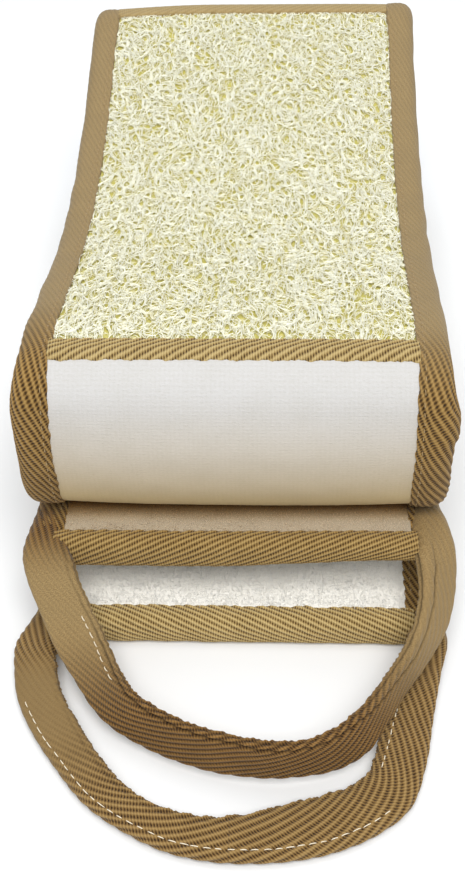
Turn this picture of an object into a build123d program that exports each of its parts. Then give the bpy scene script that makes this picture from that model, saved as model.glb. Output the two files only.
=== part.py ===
"""Folded loofah back-scrubber strap: a long padded strip with a fabric loop handle at each end, stored folded in
four runs.  Millimetres, +Z up, +X across the strip, the handles towards -Y.  The origin is the centre of the base of
the whole object's box.

The strip is described by one centreline in the Y-Z plane, made of straight runs and tangent arcs, from end A (the end
that lies on the table) to end B (the end tucked under the front roll).  A layer of the strip is the band between two
offsets from that centreline; positive offsets are on the scrubbing face.
"""
import math
import os

from build123d import *

os.makedirs("parts", exist_ok=True)

# ---------------------------------------------------------------- driving dimensions
STRIP_W = 110.0          # across the finished strip, over the edge binding
TAPE_ON_FACE = 8.6       # how far the folded binding tape reaches in over each face
TAPE_T = 1.9             # binding tape with its turned-in hem
THICK = 9.0              # strip, over the binding
CORE_LO, CORE_HI = -2.3, 2.1     # wadding core, offsets from the centreline
FACE_LO, FACE_HI = 2.2, 4.3      # loofah or terry on the scrubbing face
BACK_LO, BACK_HI = -4.3, -2.4    # terry on the back
BAND_HI = 4.6            # cross bands stand a little proud of the face
END_BAND = 7.0           # binding over each cut end, measured along the strip
WEB = 1.6                # binding tape round the edge itself
GAP = 0.30               # clearance between runs that move apart

HANDLE_W = 13.6          # folded handle strap
HANDLE_T = 2.8           # two plies
Y_SHIFT = -72.1          # brings the middle of the box over the origin

# centreline: (kind, length) or (kind, radius, turn in degrees)
CENTRELINE = [
    ("line", 204.0),           # lower run, flat on the table
    ("arc", 18.0, 82.0),       # lower back corner
    ("arc", 195.0, 15.0),      # back panel
    ("arc", 12.0, 107.0),      # upper back corner
    ("arc", 212.0, -24.0),     # top run, sagging between its two folds
    ("arc", 165.0, -14.0),
    ("line", 37.0),
    ("arc", 72.0, 14.0),
    ("arc", 8.5, 76.0),        # front roll, upper corner
    ("arc", 58.0, 30.0),       # front roll, face
    ("arc", 8.5, 82.0),        # front roll, lower corner
    ("line", 78.0),            # tucked run, going back under the top run
    ("arc", 15.3, -194.6),     # inner fold
    ("line", 99.0),            # end run, coming forward again to end B
]
START_Y, START_Z = -7.0, THICK / 2


def lay_out():
    """Turns the list into segments that know where they start, their heading and their arc length."""
    y, z, h, s, out = START_Y + Y_SHIFT, START_Z, 0.0, 0.0, []
    for item in CENTRELINE:
        if item[0] == "line":
            out.append({"s": s, "len": item[1], "y": y, "z": z, "h": h, "r": 0.0, "sg": 0})
            y += item[1] * math.cos(h)
            z += item[1] * math.sin(h)
            s += item[1]
        else:
            r, turn = item[1], math.radians(item[2])
            sg = 1 if turn > 0 else -1
            cy, cz = y - sg * r * math.sin(h), z + sg * r * math.cos(h)
            out.append({"s": s, "len": r * abs(turn), "y": y, "z": z, "h": h, "r": r, "sg": sg, "cy": cy, "cz": cz})
            h += turn
            y, z = cy + sg * r * math.sin(h), cz - sg * r * math.cos(h)
            s += r * abs(turn)
    return out, s


SEGMENTS, LENGTH = lay_out()


def on_segment(seg, s, off):
    """Point at arc length s on one segment, moved off towards the scrubbing face."""
    u = s - seg["s"]
    if seg["sg"] == 0:
        h = seg["h"]
        y, z = seg["y"] + u * math.cos(h), seg["z"] + u * math.sin(h)
    else:
        h = seg["h"] + seg["sg"] * u / seg["r"]
        y = seg["cy"] + seg["sg"] * seg["r"] * math.sin(h)
        z = seg["cz"] - seg["sg"] * seg["r"] * math.cos(h)
    return (y + off * math.sin(h), z - off * math.cos(h))


def chain(s0, s1, off):
    """The exact lines and arcs of the offset centreline from s0 to s1, as (start, middle or None, end)."""
    out = []
    for seg in SEGMENTS:
        a, b = max(s0, seg["s"]), min(s1, seg["s"] + seg["len"])
        if b - a < 1e-6:
            continue
        mid = None if seg["sg"] == 0 else on_segment(seg, (a + b) / 2, off)
        out.append((on_segment(seg, a, off), mid, on_segment(seg, b, off)))
    return out


def outline(s0, s1, lo, hi):
    """Draws the closed outline of the layer between two offsets, inside the open BuildLine."""
    near, far = chain(s0, s1, lo), chain(s0, s1, hi)
    for a, mid, b in near + far:
        if mid is None:
            Line(a, b)
        else:
            ThreePointArc(a, mid, b)
    Line(near[0][0], far[0][0])
    Line(near[-1][2], far[-1][2])


HALF = STRIP_W / 2
FACE_HALF = HALF - TAPE_ON_FACE - 0.2      # loofah and terry stop at the edge of the tape
CORE_HALF = HALF - WEB - 0.2
BOUND = THICK / 2

# where each run begins and ends along the strip
S_BACK0 = SEGMENTS[1]["s"]            # end of the lower run
S_TOP0 = SEGMENTS[4]["s"]             # loofah begins
S_TOP1 = SEGMENTS[8]["s"] - 7.0       # loofah ends, at the front cross band
S_TUCK0 = SEGMENTS[11]["s"]
S_INNER0 = SEGMENTS[12]["s"]
S_END0 = SEGMENTS[13]["s"]
BACK_BAND = 10.5                      # cross band widths along the strip
FRONT_BAND = 8.4

# ---------------------------------------------------------------- the lower run, which lies on the table

# wadding inside the lower run, which lies on the table
with BuildPart() as core_lower:
    with BuildSketch(Plane.YZ):
        with BuildLine():
            outline(WEB + 0.2, S_BACK0 - GAP / 2, CORE_LO, CORE_HI)
        make_face()
    extrude(amount=CORE_HALF, both=True)
core_lower.part.label = "core_lower"
export_step(core_lower.part, "parts/core_lower.step")

# terry on the scrubbing side of the lower run, which lies on the table, pressed flat against the table
with BuildPart() as face_terry_lower:
    with BuildSketch(Plane.YZ):
        with BuildLine():
            outline(END_BAND + 0.2, S_BACK0 - GAP / 2, FACE_LO, BOUND)
        make_face()
    extrude(amount=FACE_HALF, both=True)
face_terry_lower.part.label = "face_terry_lower"
export_step(face_terry_lower.part, "parts/face_terry_lower.step")

# terry on the back of the lower run, which lies on the table
with BuildPart() as back_terry_lower:
    with BuildSketch(Plane.YZ):
        with BuildLine():
            outline(END_BAND + 0.2, S_BACK0 - GAP / 2, BACK_LO, BACK_HI)
        make_face()
    extrude(amount=FACE_HALF, both=True)
back_terry_lower.part.label = "back_terry_lower"
export_step(back_terry_lower.part, "parts/back_terry_lower.step")

# folded tape round the left edge of the lower run, which lies on the table
with BuildPart() as binding_left_lower:
    with BuildSketch(Plane.YZ.offset(-(HALF - WEB))):
        with BuildLine():
            outline(0.0, S_BACK0 - GAP / 2, -BOUND, BOUND)
        make_face()
    extrude(amount=-WEB)
    with BuildSketch(Plane.YZ.offset(-(HALF - TAPE_ON_FACE))):
        with BuildLine():
            outline(0.0, S_BACK0 - GAP / 2, BOUND - TAPE_T, BOUND)
        make_face()
    extrude(amount=-(TAPE_ON_FACE - WEB / 2))
    with BuildSketch(Plane.YZ.offset(-(HALF - TAPE_ON_FACE))):
        with BuildLine():
            outline(0.0, S_BACK0 - GAP / 2, -BOUND, TAPE_T - BOUND)
        make_face()
    extrude(amount=-(TAPE_ON_FACE - WEB / 2))
binding_left_lower.part.label = "binding_left_lower"
export_step(binding_left_lower.part, "parts/binding_left_lower.step")

# folded tape round the right edge of the lower run, which lies on the table
with BuildPart() as binding_right_lower:
    with BuildSketch(Plane.YZ.offset((HALF - WEB))):
        with BuildLine():
            outline(0.0, S_BACK0 - GAP / 2, -BOUND, BOUND)
        make_face()
    extrude(amount=WEB)
    with BuildSketch(Plane.YZ.offset((HALF - TAPE_ON_FACE))):
        with BuildLine():
            outline(0.0, S_BACK0 - GAP / 2, BOUND - TAPE_T, BOUND)
        make_face()
    extrude(amount=(TAPE_ON_FACE - WEB / 2))
    with BuildSketch(Plane.YZ.offset((HALF - TAPE_ON_FACE))):
        with BuildLine():
            outline(0.0, S_BACK0 - GAP / 2, -BOUND, TAPE_T - BOUND)
        make_face()
    extrude(amount=(TAPE_ON_FACE - WEB / 2))
binding_right_lower.part.label = "binding_right_lower"
export_step(binding_right_lower.part, "parts/binding_right_lower.step")

# tape folded over the cut end A, between the two side bindings
with BuildPart() as end_binding_a:
    with BuildSketch(Plane.YZ):
        with BuildLine():
            outline(0.0, WEB, -BOUND, BOUND)
        make_face()
    extrude(amount=FACE_HALF, both=True)
    with BuildSketch(Plane.YZ):
        with BuildLine():
            outline(0.0, END_BAND, BOUND - TAPE_T, BOUND)
        make_face()
    extrude(amount=FACE_HALF, both=True)
    with BuildSketch(Plane.YZ):
        with BuildLine():
            outline(0.0, END_BAND, -BOUND, TAPE_T - BOUND)
        make_face()
    extrude(amount=FACE_HALF, both=True)
end_binding_a.part.label = "end_binding_a"
export_step(end_binding_a.part, "parts/end_binding_a.step")

# ---------------------------------------------------------------- the large fold at the back

# wadding inside the large fold at the back
with BuildPart() as core_back_fold:
    with BuildSketch(Plane.YZ):
        with BuildLine():
            outline(S_BACK0 + GAP / 2, S_TOP0 - GAP / 2, CORE_LO, CORE_HI)
        make_face()
    extrude(amount=CORE_HALF, both=True)
core_back_fold.part.label = "core_back_fold"
export_step(core_back_fold.part, "parts/core_back_fold.step")

# terry on the scrubbing side of the large fold at the back
with BuildPart() as face_terry_back_fold:
    with BuildSketch(Plane.YZ):
        with BuildLine():
            outline(S_BACK0 + GAP / 2, S_TOP0 - BACK_BAND - 0.2, FACE_LO, FACE_HI)
        make_face()
    extrude(amount=FACE_HALF, both=True)
face_terry_back_fold.part.label = "face_terry_back_fold"
export_step(face_terry_back_fold.part, "parts/face_terry_back_fold.step")

# tape across the strip over the join of loofah and terry
with BuildPart() as cross_band_back:
    with BuildSketch(Plane.YZ):
        with BuildLine():
            outline(S_TOP0 - BACK_BAND, S_TOP0 - GAP / 2, FACE_LO, BAND_HI)
        make_face()
    extrude(amount=FACE_HALF, both=True)
cross_band_back.part.label = "cross_band_back"
export_step(cross_band_back.part, "parts/cross_band_back.step")

# terry on the back of the large fold at the back
with BuildPart() as back_terry_back_fold:
    with BuildSketch(Plane.YZ):
        with BuildLine():
            outline(S_BACK0 + GAP / 2, S_TOP0 - GAP / 2, BACK_LO, BACK_HI)
        make_face()
    extrude(amount=FACE_HALF, both=True)
back_terry_back_fold.part.label = "back_terry_back_fold"
export_step(back_terry_back_fold.part, "parts/back_terry_back_fold.step")

# folded tape round the left edge of the large fold at the back
with BuildPart() as binding_left_back_fold:
    with BuildSketch(Plane.YZ.offset(-(HALF - WEB))):
        with BuildLine():
            outline(S_BACK0 + GAP / 2, S_TOP0 - GAP / 2, -BOUND, BOUND)
        make_face()
    extrude(amount=-WEB)
    with BuildSketch(Plane.YZ.offset(-(HALF - TAPE_ON_FACE))):
        with BuildLine():
            outline(S_BACK0 + GAP / 2, S_TOP0 - GAP / 2, BOUND - TAPE_T, BOUND)
        make_face()
    extrude(amount=-(TAPE_ON_FACE - WEB / 2))
    with BuildSketch(Plane.YZ.offset(-(HALF - TAPE_ON_FACE))):
        with BuildLine():
            outline(S_BACK0 + GAP / 2, S_TOP0 - GAP / 2, -BOUND, TAPE_T - BOUND)
        make_face()
    extrude(amount=-(TAPE_ON_FACE - WEB / 2))
binding_left_back_fold.part.label = "binding_left_back_fold"
export_step(binding_left_back_fold.part, "parts/binding_left_back_fold.step")

# folded tape round the right edge of the large fold at the back
with BuildPart() as binding_right_back_fold:
    with BuildSketch(Plane.YZ.offset((HALF - WEB))):
        with BuildLine():
            outline(S_BACK0 + GAP / 2, S_TOP0 - GAP / 2, -BOUND, BOUND)
        make_face()
    extrude(amount=WEB)
    with BuildSketch(Plane.YZ.offset((HALF - TAPE_ON_FACE))):
        with BuildLine():
            outline(S_BACK0 + GAP / 2, S_TOP0 - GAP / 2, BOUND - TAPE_T, BOUND)
        make_face()
    extrude(amount=(TAPE_ON_FACE - WEB / 2))
    with BuildSketch(Plane.YZ.offset((HALF - TAPE_ON_FACE))):
        with BuildLine():
            outline(S_BACK0 + GAP / 2, S_TOP0 - GAP / 2, -BOUND, TAPE_T - BOUND)
        make_face()
    extrude(amount=(TAPE_ON_FACE - WEB / 2))
binding_right_back_fold.part.label = "binding_right_back_fold"
export_step(binding_right_back_fold.part, "parts/binding_right_back_fold.step")

# ---------------------------------------------------------------- the top run

# wadding inside the top run
with BuildPart() as core_top:
    with BuildSketch(Plane.YZ):
        with BuildLine():
            outline(S_TOP0 + GAP / 2, S_TOP1 - GAP / 2, CORE_LO, CORE_HI)
        make_face()
    extrude(amount=CORE_HALF, both=True)
core_top.part.label = "core_top"
export_step(core_top.part, "parts/core_top.step")

# natural loofah mat, the scrubbing surface
with BuildPart() as loofah_panel:
    with BuildSketch(Plane.YZ):
        with BuildLine():
            outline(S_TOP0 + GAP / 2, S_TOP1 - GAP / 2, FACE_LO, FACE_HI)
        make_face()
    extrude(amount=FACE_HALF, both=True)
loofah_panel.part.label = "loofah_panel"
export_step(loofah_panel.part, "parts/loofah_panel.step")

# terry on the back of the top run
with BuildPart() as back_terry_top:
    with BuildSketch(Plane.YZ):
        with BuildLine():
            outline(S_TOP0 + GAP / 2, S_TOP1 - GAP / 2, BACK_LO, BACK_HI)
        make_face()
    extrude(amount=FACE_HALF, both=True)
back_terry_top.part.label = "back_terry_top"
export_step(back_terry_top.part, "parts/back_terry_top.step")

# folded tape round the left edge of the top run
with BuildPart() as binding_left_top:
    with BuildSketch(Plane.YZ.offset(-(HALF - WEB))):
        with BuildLine():
            outline(S_TOP0 + GAP / 2, S_TOP1 - GAP / 2, -BOUND, BOUND)
        make_face()
    extrude(amount=-WEB)
    with BuildSketch(Plane.YZ.offset(-(HALF - TAPE_ON_FACE))):
        with BuildLine():
            outline(S_TOP0 + GAP / 2, S_TOP1 - GAP / 2, BOUND - TAPE_T, BOUND)
        make_face()
    extrude(amount=-(TAPE_ON_FACE - WEB / 2))
    with BuildSketch(Plane.YZ.offset(-(HALF - TAPE_ON_FACE))):
        with BuildLine():
            outline(S_TOP0 + GAP / 2, S_TOP1 - GAP / 2, -BOUND, TAPE_T - BOUND)
        make_face()
    extrude(amount=-(TAPE_ON_FACE - WEB / 2))
binding_left_top.part.label = "binding_left_top"
export_step(binding_left_top.part, "parts/binding_left_top.step")

# folded tape round the right edge of the top run
with BuildPart() as binding_right_top:
    with BuildSketch(Plane.YZ.offset((HALF - WEB))):
        with BuildLine():
            outline(S_TOP0 + GAP / 2, S_TOP1 - GAP / 2, -BOUND, BOUND)
        make_face()
    extrude(amount=WEB)
    with BuildSketch(Plane.YZ.offset((HALF - TAPE_ON_FACE))):
        with BuildLine():
            outline(S_TOP0 + GAP / 2, S_TOP1 - GAP / 2, BOUND - TAPE_T, BOUND)
        make_face()
    extrude(amount=(TAPE_ON_FACE - WEB / 2))
    with BuildSketch(Plane.YZ.offset((HALF - TAPE_ON_FACE))):
        with BuildLine():
            outline(S_TOP0 + GAP / 2, S_TOP1 - GAP / 2, -BOUND, TAPE_T - BOUND)
        make_face()
    extrude(amount=(TAPE_ON_FACE - WEB / 2))
binding_right_top.part.label = "binding_right_top"
export_step(binding_right_top.part, "parts/binding_right_top.step")

# ---------------------------------------------------------------- the roll at the front

# wadding inside the roll at the front
with BuildPart() as core_front_roll:
    with BuildSketch(Plane.YZ):
        with BuildLine():
            outline(S_TOP1 + GAP / 2, S_TUCK0 - GAP / 2, CORE_LO, CORE_HI)
        make_face()
    extrude(amount=CORE_HALF, both=True)
core_front_roll.part.label = "core_front_roll"
export_step(core_front_roll.part, "parts/core_front_roll.step")

# tape across the strip over the join of loofah and terry
with BuildPart() as cross_band_front:
    with BuildSketch(Plane.YZ):
        with BuildLine():
            outline(S_TOP1 + GAP / 2, S_TOP1 + FRONT_BAND, FACE_LO, BAND_HI)
        make_face()
    extrude(amount=FACE_HALF, both=True)
cross_band_front.part.label = "cross_band_front"
export_step(cross_band_front.part, "parts/cross_band_front.step")

# terry on the scrubbing side of the roll at the front
with BuildPart() as face_terry_front_roll:
    with BuildSketch(Plane.YZ):
        with BuildLine():
            outline(S_TOP1 + FRONT_BAND + 0.2, S_TUCK0 - GAP / 2, FACE_LO, FACE_HI)
        make_face()
    extrude(amount=FACE_HALF, both=True)
face_terry_front_roll.part.label = "face_terry_front_roll"
export_step(face_terry_front_roll.part, "parts/face_terry_front_roll.step")

# terry on the back of the roll at the front
with BuildPart() as back_terry_front_roll:
    with BuildSketch(Plane.YZ):
        with BuildLine():
            outline(S_TOP1 + GAP / 2, S_TUCK0 - GAP / 2, BACK_LO, BACK_HI)
        make_face()
    extrude(amount=FACE_HALF, both=True)
back_terry_front_roll.part.label = "back_terry_front_roll"
export_step(back_terry_front_roll.part, "parts/back_terry_front_roll.step")

# folded tape round the left edge of the roll at the front
with BuildPart() as binding_left_front_roll:
    with BuildSketch(Plane.YZ.offset(-(HALF - WEB))):
        with BuildLine():
            outline(S_TOP1 + GAP / 2, S_TUCK0 - GAP / 2, -BOUND, BOUND)
        make_face()
    extrude(amount=-WEB)
    with BuildSketch(Plane.YZ.offset(-(HALF - TAPE_ON_FACE))):
        with BuildLine():
            outline(S_TOP1 + GAP / 2, S_TUCK0 - GAP / 2, BOUND - TAPE_T, BOUND)
        make_face()
    extrude(amount=-(TAPE_ON_FACE - WEB / 2))
    with BuildSketch(Plane.YZ.offset(-(HALF - TAPE_ON_FACE))):
        with BuildLine():
            outline(S_TOP1 + GAP / 2, S_TUCK0 - GAP / 2, -BOUND, TAPE_T - BOUND)
        make_face()
    extrude(amount=-(TAPE_ON_FACE - WEB / 2))
binding_left_front_roll.part.label = "binding_left_front_roll"
export_step(binding_left_front_roll.part, "parts/binding_left_front_roll.step")

# folded tape round the right edge of the roll at the front
with BuildPart() as binding_right_front_roll:
    with BuildSketch(Plane.YZ.offset((HALF - WEB))):
        with BuildLine():
            outline(S_TOP1 + GAP / 2, S_TUCK0 - GAP / 2, -BOUND, BOUND)
        make_face()
    extrude(amount=WEB)
    with BuildSketch(Plane.YZ.offset((HALF - TAPE_ON_FACE))):
        with BuildLine():
            outline(S_TOP1 + GAP / 2, S_TUCK0 - GAP / 2, BOUND - TAPE_T, BOUND)
        make_face()
    extrude(amount=(TAPE_ON_FACE - WEB / 2))
    with BuildSketch(Plane.YZ.offset((HALF - TAPE_ON_FACE))):
        with BuildLine():
            outline(S_TOP1 + GAP / 2, S_TUCK0 - GAP / 2, -BOUND, TAPE_T - BOUND)
        make_face()
    extrude(amount=(TAPE_ON_FACE - WEB / 2))
binding_right_front_roll.part.label = "binding_right_front_roll"
export_step(binding_right_front_roll.part, "parts/binding_right_front_roll.step")

# ---------------------------------------------------------------- the run tucked back under the top run

# wadding inside the run tucked back under the top run
with BuildPart() as core_tucked:
    with BuildSketch(Plane.YZ):
        with BuildLine():
            outline(S_TUCK0 + GAP / 2, S_INNER0 - GAP / 2, CORE_LO, CORE_HI)
        make_face()
    extrude(amount=CORE_HALF, both=True)
core_tucked.part.label = "core_tucked"
export_step(core_tucked.part, "parts/core_tucked.step")

# terry on the scrubbing side of the run tucked back under the top run
with BuildPart() as face_terry_tucked:
    with BuildSketch(Plane.YZ):
        with BuildLine():
            outline(S_TUCK0 + GAP / 2, S_INNER0 - GAP / 2, FACE_LO, FACE_HI)
        make_face()
    extrude(amount=FACE_HALF, both=True)
face_terry_tucked.part.label = "face_terry_tucked"
export_step(face_terry_tucked.part, "parts/face_terry_tucked.step")

# terry on the back of the run tucked back under the top run
with BuildPart() as back_terry_tucked:
    with BuildSketch(Plane.YZ):
        with BuildLine():
            outline(S_TUCK0 + GAP / 2, S_INNER0 - GAP / 2, BACK_LO, BACK_HI)
        make_face()
    extrude(amount=FACE_HALF, both=True)
back_terry_tucked.part.label = "back_terry_tucked"
export_step(back_terry_tucked.part, "parts/back_terry_tucked.step")

# folded tape round the left edge of the run tucked back under the top run
with BuildPart() as binding_left_tucked:
    with BuildSketch(Plane.YZ.offset(-(HALF - WEB))):
        with BuildLine():
            outline(S_TUCK0 + GAP / 2, S_INNER0 - GAP / 2, -BOUND, BOUND)
        make_face()
    extrude(amount=-WEB)
    with BuildSketch(Plane.YZ.offset(-(HALF - TAPE_ON_FACE))):
        with BuildLine():
            outline(S_TUCK0 + GAP / 2, S_INNER0 - GAP / 2, BOUND - TAPE_T, BOUND)
        make_face()
    extrude(amount=-(TAPE_ON_FACE - WEB / 2))
    with BuildSketch(Plane.YZ.offset(-(HALF - TAPE_ON_FACE))):
        with BuildLine():
            outline(S_TUCK0 + GAP / 2, S_INNER0 - GAP / 2, -BOUND, TAPE_T - BOUND)
        make_face()
    extrude(amount=-(TAPE_ON_FACE - WEB / 2))
binding_left_tucked.part.label = "binding_left_tucked"
export_step(binding_left_tucked.part, "parts/binding_left_tucked.step")

# folded tape round the right edge of the run tucked back under the top run
with BuildPart() as binding_right_tucked:
    with BuildSketch(Plane.YZ.offset((HALF - WEB))):
        with BuildLine():
            outline(S_TUCK0 + GAP / 2, S_INNER0 - GAP / 2, -BOUND, BOUND)
        make_face()
    extrude(amount=WEB)
    with BuildSketch(Plane.YZ.offset((HALF - TAPE_ON_FACE))):
        with BuildLine():
            outline(S_TUCK0 + GAP / 2, S_INNER0 - GAP / 2, BOUND - TAPE_T, BOUND)
        make_face()
    extrude(amount=(TAPE_ON_FACE - WEB / 2))
    with BuildSketch(Plane.YZ.offset((HALF - TAPE_ON_FACE))):
        with BuildLine():
            outline(S_TUCK0 + GAP / 2, S_INNER0 - GAP / 2, -BOUND, TAPE_T - BOUND)
        make_face()
    extrude(amount=(TAPE_ON_FACE - WEB / 2))
binding_right_tucked.part.label = "binding_right_tucked"
export_step(binding_right_tucked.part, "parts/binding_right_tucked.step")

# ---------------------------------------------------------------- the hidden inner fold

# wadding inside the hidden inner fold
with BuildPart() as core_inner_fold:
    with BuildSketch(Plane.YZ):
        with BuildLine():
            outline(S_INNER0 + GAP / 2, S_END0 - GAP / 2, CORE_LO, CORE_HI)
        make_face()
    extrude(amount=CORE_HALF, both=True)
core_inner_fold.part.label = "core_inner_fold"
export_step(core_inner_fold.part, "parts/core_inner_fold.step")

# terry on the scrubbing side of the hidden inner fold
with BuildPart() as face_terry_inner_fold:
    with BuildSketch(Plane.YZ):
        with BuildLine():
            outline(S_INNER0 + GAP / 2, S_END0 - GAP / 2, FACE_LO, FACE_HI)
        make_face()
    extrude(amount=FACE_HALF, both=True)
face_terry_inner_fold.part.label = "face_terry_inner_fold"
export_step(face_terry_inner_fold.part, "parts/face_terry_inner_fold.step")

# terry on the back of the hidden inner fold
with BuildPart() as back_terry_inner_fold:
    with BuildSketch(Plane.YZ):
        with BuildLine():
            outline(S_INNER0 + GAP / 2, S_END0 - GAP / 2, BACK_LO, BACK_HI)
        make_face()
    extrude(amount=FACE_HALF, both=True)
back_terry_inner_fold.part.label = "back_terry_inner_fold"
export_step(back_terry_inner_fold.part, "parts/back_terry_inner_fold.step")

# folded tape round the left edge of the hidden inner fold
with BuildPart() as binding_left_inner_fold:
    with BuildSketch(Plane.YZ.offset(-(HALF - WEB))):
        with BuildLine():
            outline(S_INNER0 + GAP / 2, S_END0 - GAP / 2, -BOUND, BOUND)
        make_face()
    extrude(amount=-WEB)
    with BuildSketch(Plane.YZ.offset(-(HALF - TAPE_ON_FACE))):
        with BuildLine():
            outline(S_INNER0 + GAP / 2, S_END0 - GAP / 2, BOUND - TAPE_T, BOUND)
        make_face()
    extrude(amount=-(TAPE_ON_FACE - WEB / 2))
    with BuildSketch(Plane.YZ.offset(-(HALF - TAPE_ON_FACE))):
        with BuildLine():
            outline(S_INNER0 + GAP / 2, S_END0 - GAP / 2, -BOUND, TAPE_T - BOUND)
        make_face()
    extrude(amount=-(TAPE_ON_FACE - WEB / 2))
binding_left_inner_fold.part.label = "binding_left_inner_fold"
export_step(binding_left_inner_fold.part, "parts/binding_left_inner_fold.step")

# folded tape round the right edge of the hidden inner fold
with BuildPart() as binding_right_inner_fold:
    with BuildSketch(Plane.YZ.offset((HALF - WEB))):
        with BuildLine():
            outline(S_INNER0 + GAP / 2, S_END0 - GAP / 2, -BOUND, BOUND)
        make_face()
    extrude(amount=WEB)
    with BuildSketch(Plane.YZ.offset((HALF - TAPE_ON_FACE))):
        with BuildLine():
            outline(S_INNER0 + GAP / 2, S_END0 - GAP / 2, BOUND - TAPE_T, BOUND)
        make_face()
    extrude(amount=(TAPE_ON_FACE - WEB / 2))
    with BuildSketch(Plane.YZ.offset((HALF - TAPE_ON_FACE))):
        with BuildLine():
            outline(S_INNER0 + GAP / 2, S_END0 - GAP / 2, -BOUND, TAPE_T - BOUND)
        make_face()
    extrude(amount=(TAPE_ON_FACE - WEB / 2))
binding_right_inner_fold.part.label = "binding_right_inner_fold"
export_step(binding_right_inner_fold.part, "parts/binding_right_inner_fold.step")

# ---------------------------------------------------------------- the end run, which comes forward to end B

# wadding inside the end run, which comes forward to end B
with BuildPart() as core_end:
    with BuildSketch(Plane.YZ):
        with BuildLine():
            outline(S_END0 + GAP / 2, LENGTH - WEB - 0.2, CORE_LO, CORE_HI)
        make_face()
    extrude(amount=CORE_HALF, both=True)
core_end.part.label = "core_end"
export_step(core_end.part, "parts/core_end.step")

# terry on the scrubbing side of the end run, which comes forward to end B
with BuildPart() as face_terry_end:
    with BuildSketch(Plane.YZ):
        with BuildLine():
            outline(S_END0 + GAP / 2, LENGTH - END_BAND - 0.2, FACE_LO, FACE_HI)
        make_face()
    extrude(amount=FACE_HALF, both=True)
face_terry_end.part.label = "face_terry_end"
export_step(face_terry_end.part, "parts/face_terry_end.step")

# terry on the back of the end run, which comes forward to end B
with BuildPart() as back_terry_end:
    with BuildSketch(Plane.YZ):
        with BuildLine():
            outline(S_END0 + GAP / 2, LENGTH - END_BAND - 0.2, BACK_LO, BACK_HI)
        make_face()
    extrude(amount=FACE_HALF, both=True)
back_terry_end.part.label = "back_terry_end"
export_step(back_terry_end.part, "parts/back_terry_end.step")

# folded tape round the left edge of the end run, which comes forward to end B
with BuildPart() as binding_left_end:
    with BuildSketch(Plane.YZ.offset(-(HALF - WEB))):
        with BuildLine():
            outline(S_END0 + GAP / 2, LENGTH, -BOUND, BOUND)
        make_face()
    extrude(amount=-WEB)
    with BuildSketch(Plane.YZ.offset(-(HALF - TAPE_ON_FACE))):
        with BuildLine():
            outline(S_END0 + GAP / 2, LENGTH, BOUND - TAPE_T, BOUND)
        make_face()
    extrude(amount=-(TAPE_ON_FACE - WEB / 2))
    with BuildSketch(Plane.YZ.offset(-(HALF - TAPE_ON_FACE))):
        with BuildLine():
            outline(S_END0 + GAP / 2, LENGTH, -BOUND, TAPE_T - BOUND)
        make_face()
    extrude(amount=-(TAPE_ON_FACE - WEB / 2))
binding_left_end.part.label = "binding_left_end"
export_step(binding_left_end.part, "parts/binding_left_end.step")

# folded tape round the right edge of the end run, which comes forward to end B
with BuildPart() as binding_right_end:
    with BuildSketch(Plane.YZ.offset((HALF - WEB))):
        with BuildLine():
            outline(S_END0 + GAP / 2, LENGTH, -BOUND, BOUND)
        make_face()
    extrude(amount=WEB)
    with BuildSketch(Plane.YZ.offset((HALF - TAPE_ON_FACE))):
        with BuildLine():
            outline(S_END0 + GAP / 2, LENGTH, BOUND - TAPE_T, BOUND)
        make_face()
    extrude(amount=(TAPE_ON_FACE - WEB / 2))
    with BuildSketch(Plane.YZ.offset((HALF - TAPE_ON_FACE))):
        with BuildLine():
            outline(S_END0 + GAP / 2, LENGTH, -BOUND, TAPE_T - BOUND)
        make_face()
    extrude(amount=(TAPE_ON_FACE - WEB / 2))
binding_right_end.part.label = "binding_right_end"
export_step(binding_right_end.part, "parts/binding_right_end.step")

# tape folded over the cut end B, between the two side bindings
with BuildPart() as end_binding_b:
    with BuildSketch(Plane.YZ):
        with BuildLine():
            outline(LENGTH - WEB, LENGTH, -BOUND, BOUND)
        make_face()
    extrude(amount=FACE_HALF, both=True)
    with BuildSketch(Plane.YZ):
        with BuildLine():
            outline(LENGTH - END_BAND, LENGTH, BOUND - TAPE_T, BOUND)
        make_face()
    extrude(amount=FACE_HALF, both=True)
    with BuildSketch(Plane.YZ):
        with BuildLine():
            outline(LENGTH - END_BAND, LENGTH, -BOUND, TAPE_T - BOUND)
        make_face()
    extrude(amount=FACE_HALF, both=True)
end_binding_b.part.label = "end_binding_b"
export_step(end_binding_b.part, "parts/end_binding_b.step")

# ---------------------------------------------------------------- handle A, the outer loop, lying on the table
# plan outline of the strap's two edges, from the left side of the strip round to the right side
A_TOP = HANDLE_T
A_OUTER = [(-54.8, -7.4), (-59.3, -20.0), (-57.4, -31.0), (-51.9, -42.0), (-43.4, -53.5), (-34.0, -63.0),
           (-23.0, -70.2), (-10.0, -75.3), (4.0, -77.0), (18.0, -75.9), (30.0, -72.2), (39.5, -66.4),
           (46.6, -58.0), (51.6, -45.0), (55.2, -31.0), (59.3, -17.0), (54.8, -7.4)]
A_INNER = [(-41.4, -7.4), (-45.8, -20.0), (-44.6, -27.5), (-40.4, -35.4), (-33.1, -44.6), (-24.9, -52.9),
           (-16.5, -58.3), (-6.8, -62.1), (3.9, -63.4), (15.0, -62.4), (23.8, -59.6), (30.4, -55.4),
           (35.0, -49.6), (38.8, -40.0), (41.8, -28.5), (44.6, -17.0), (41.4, -7.4)]


def moved(points, dy=0.0):
    return [(x, y + dy) for x, y in points]


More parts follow.
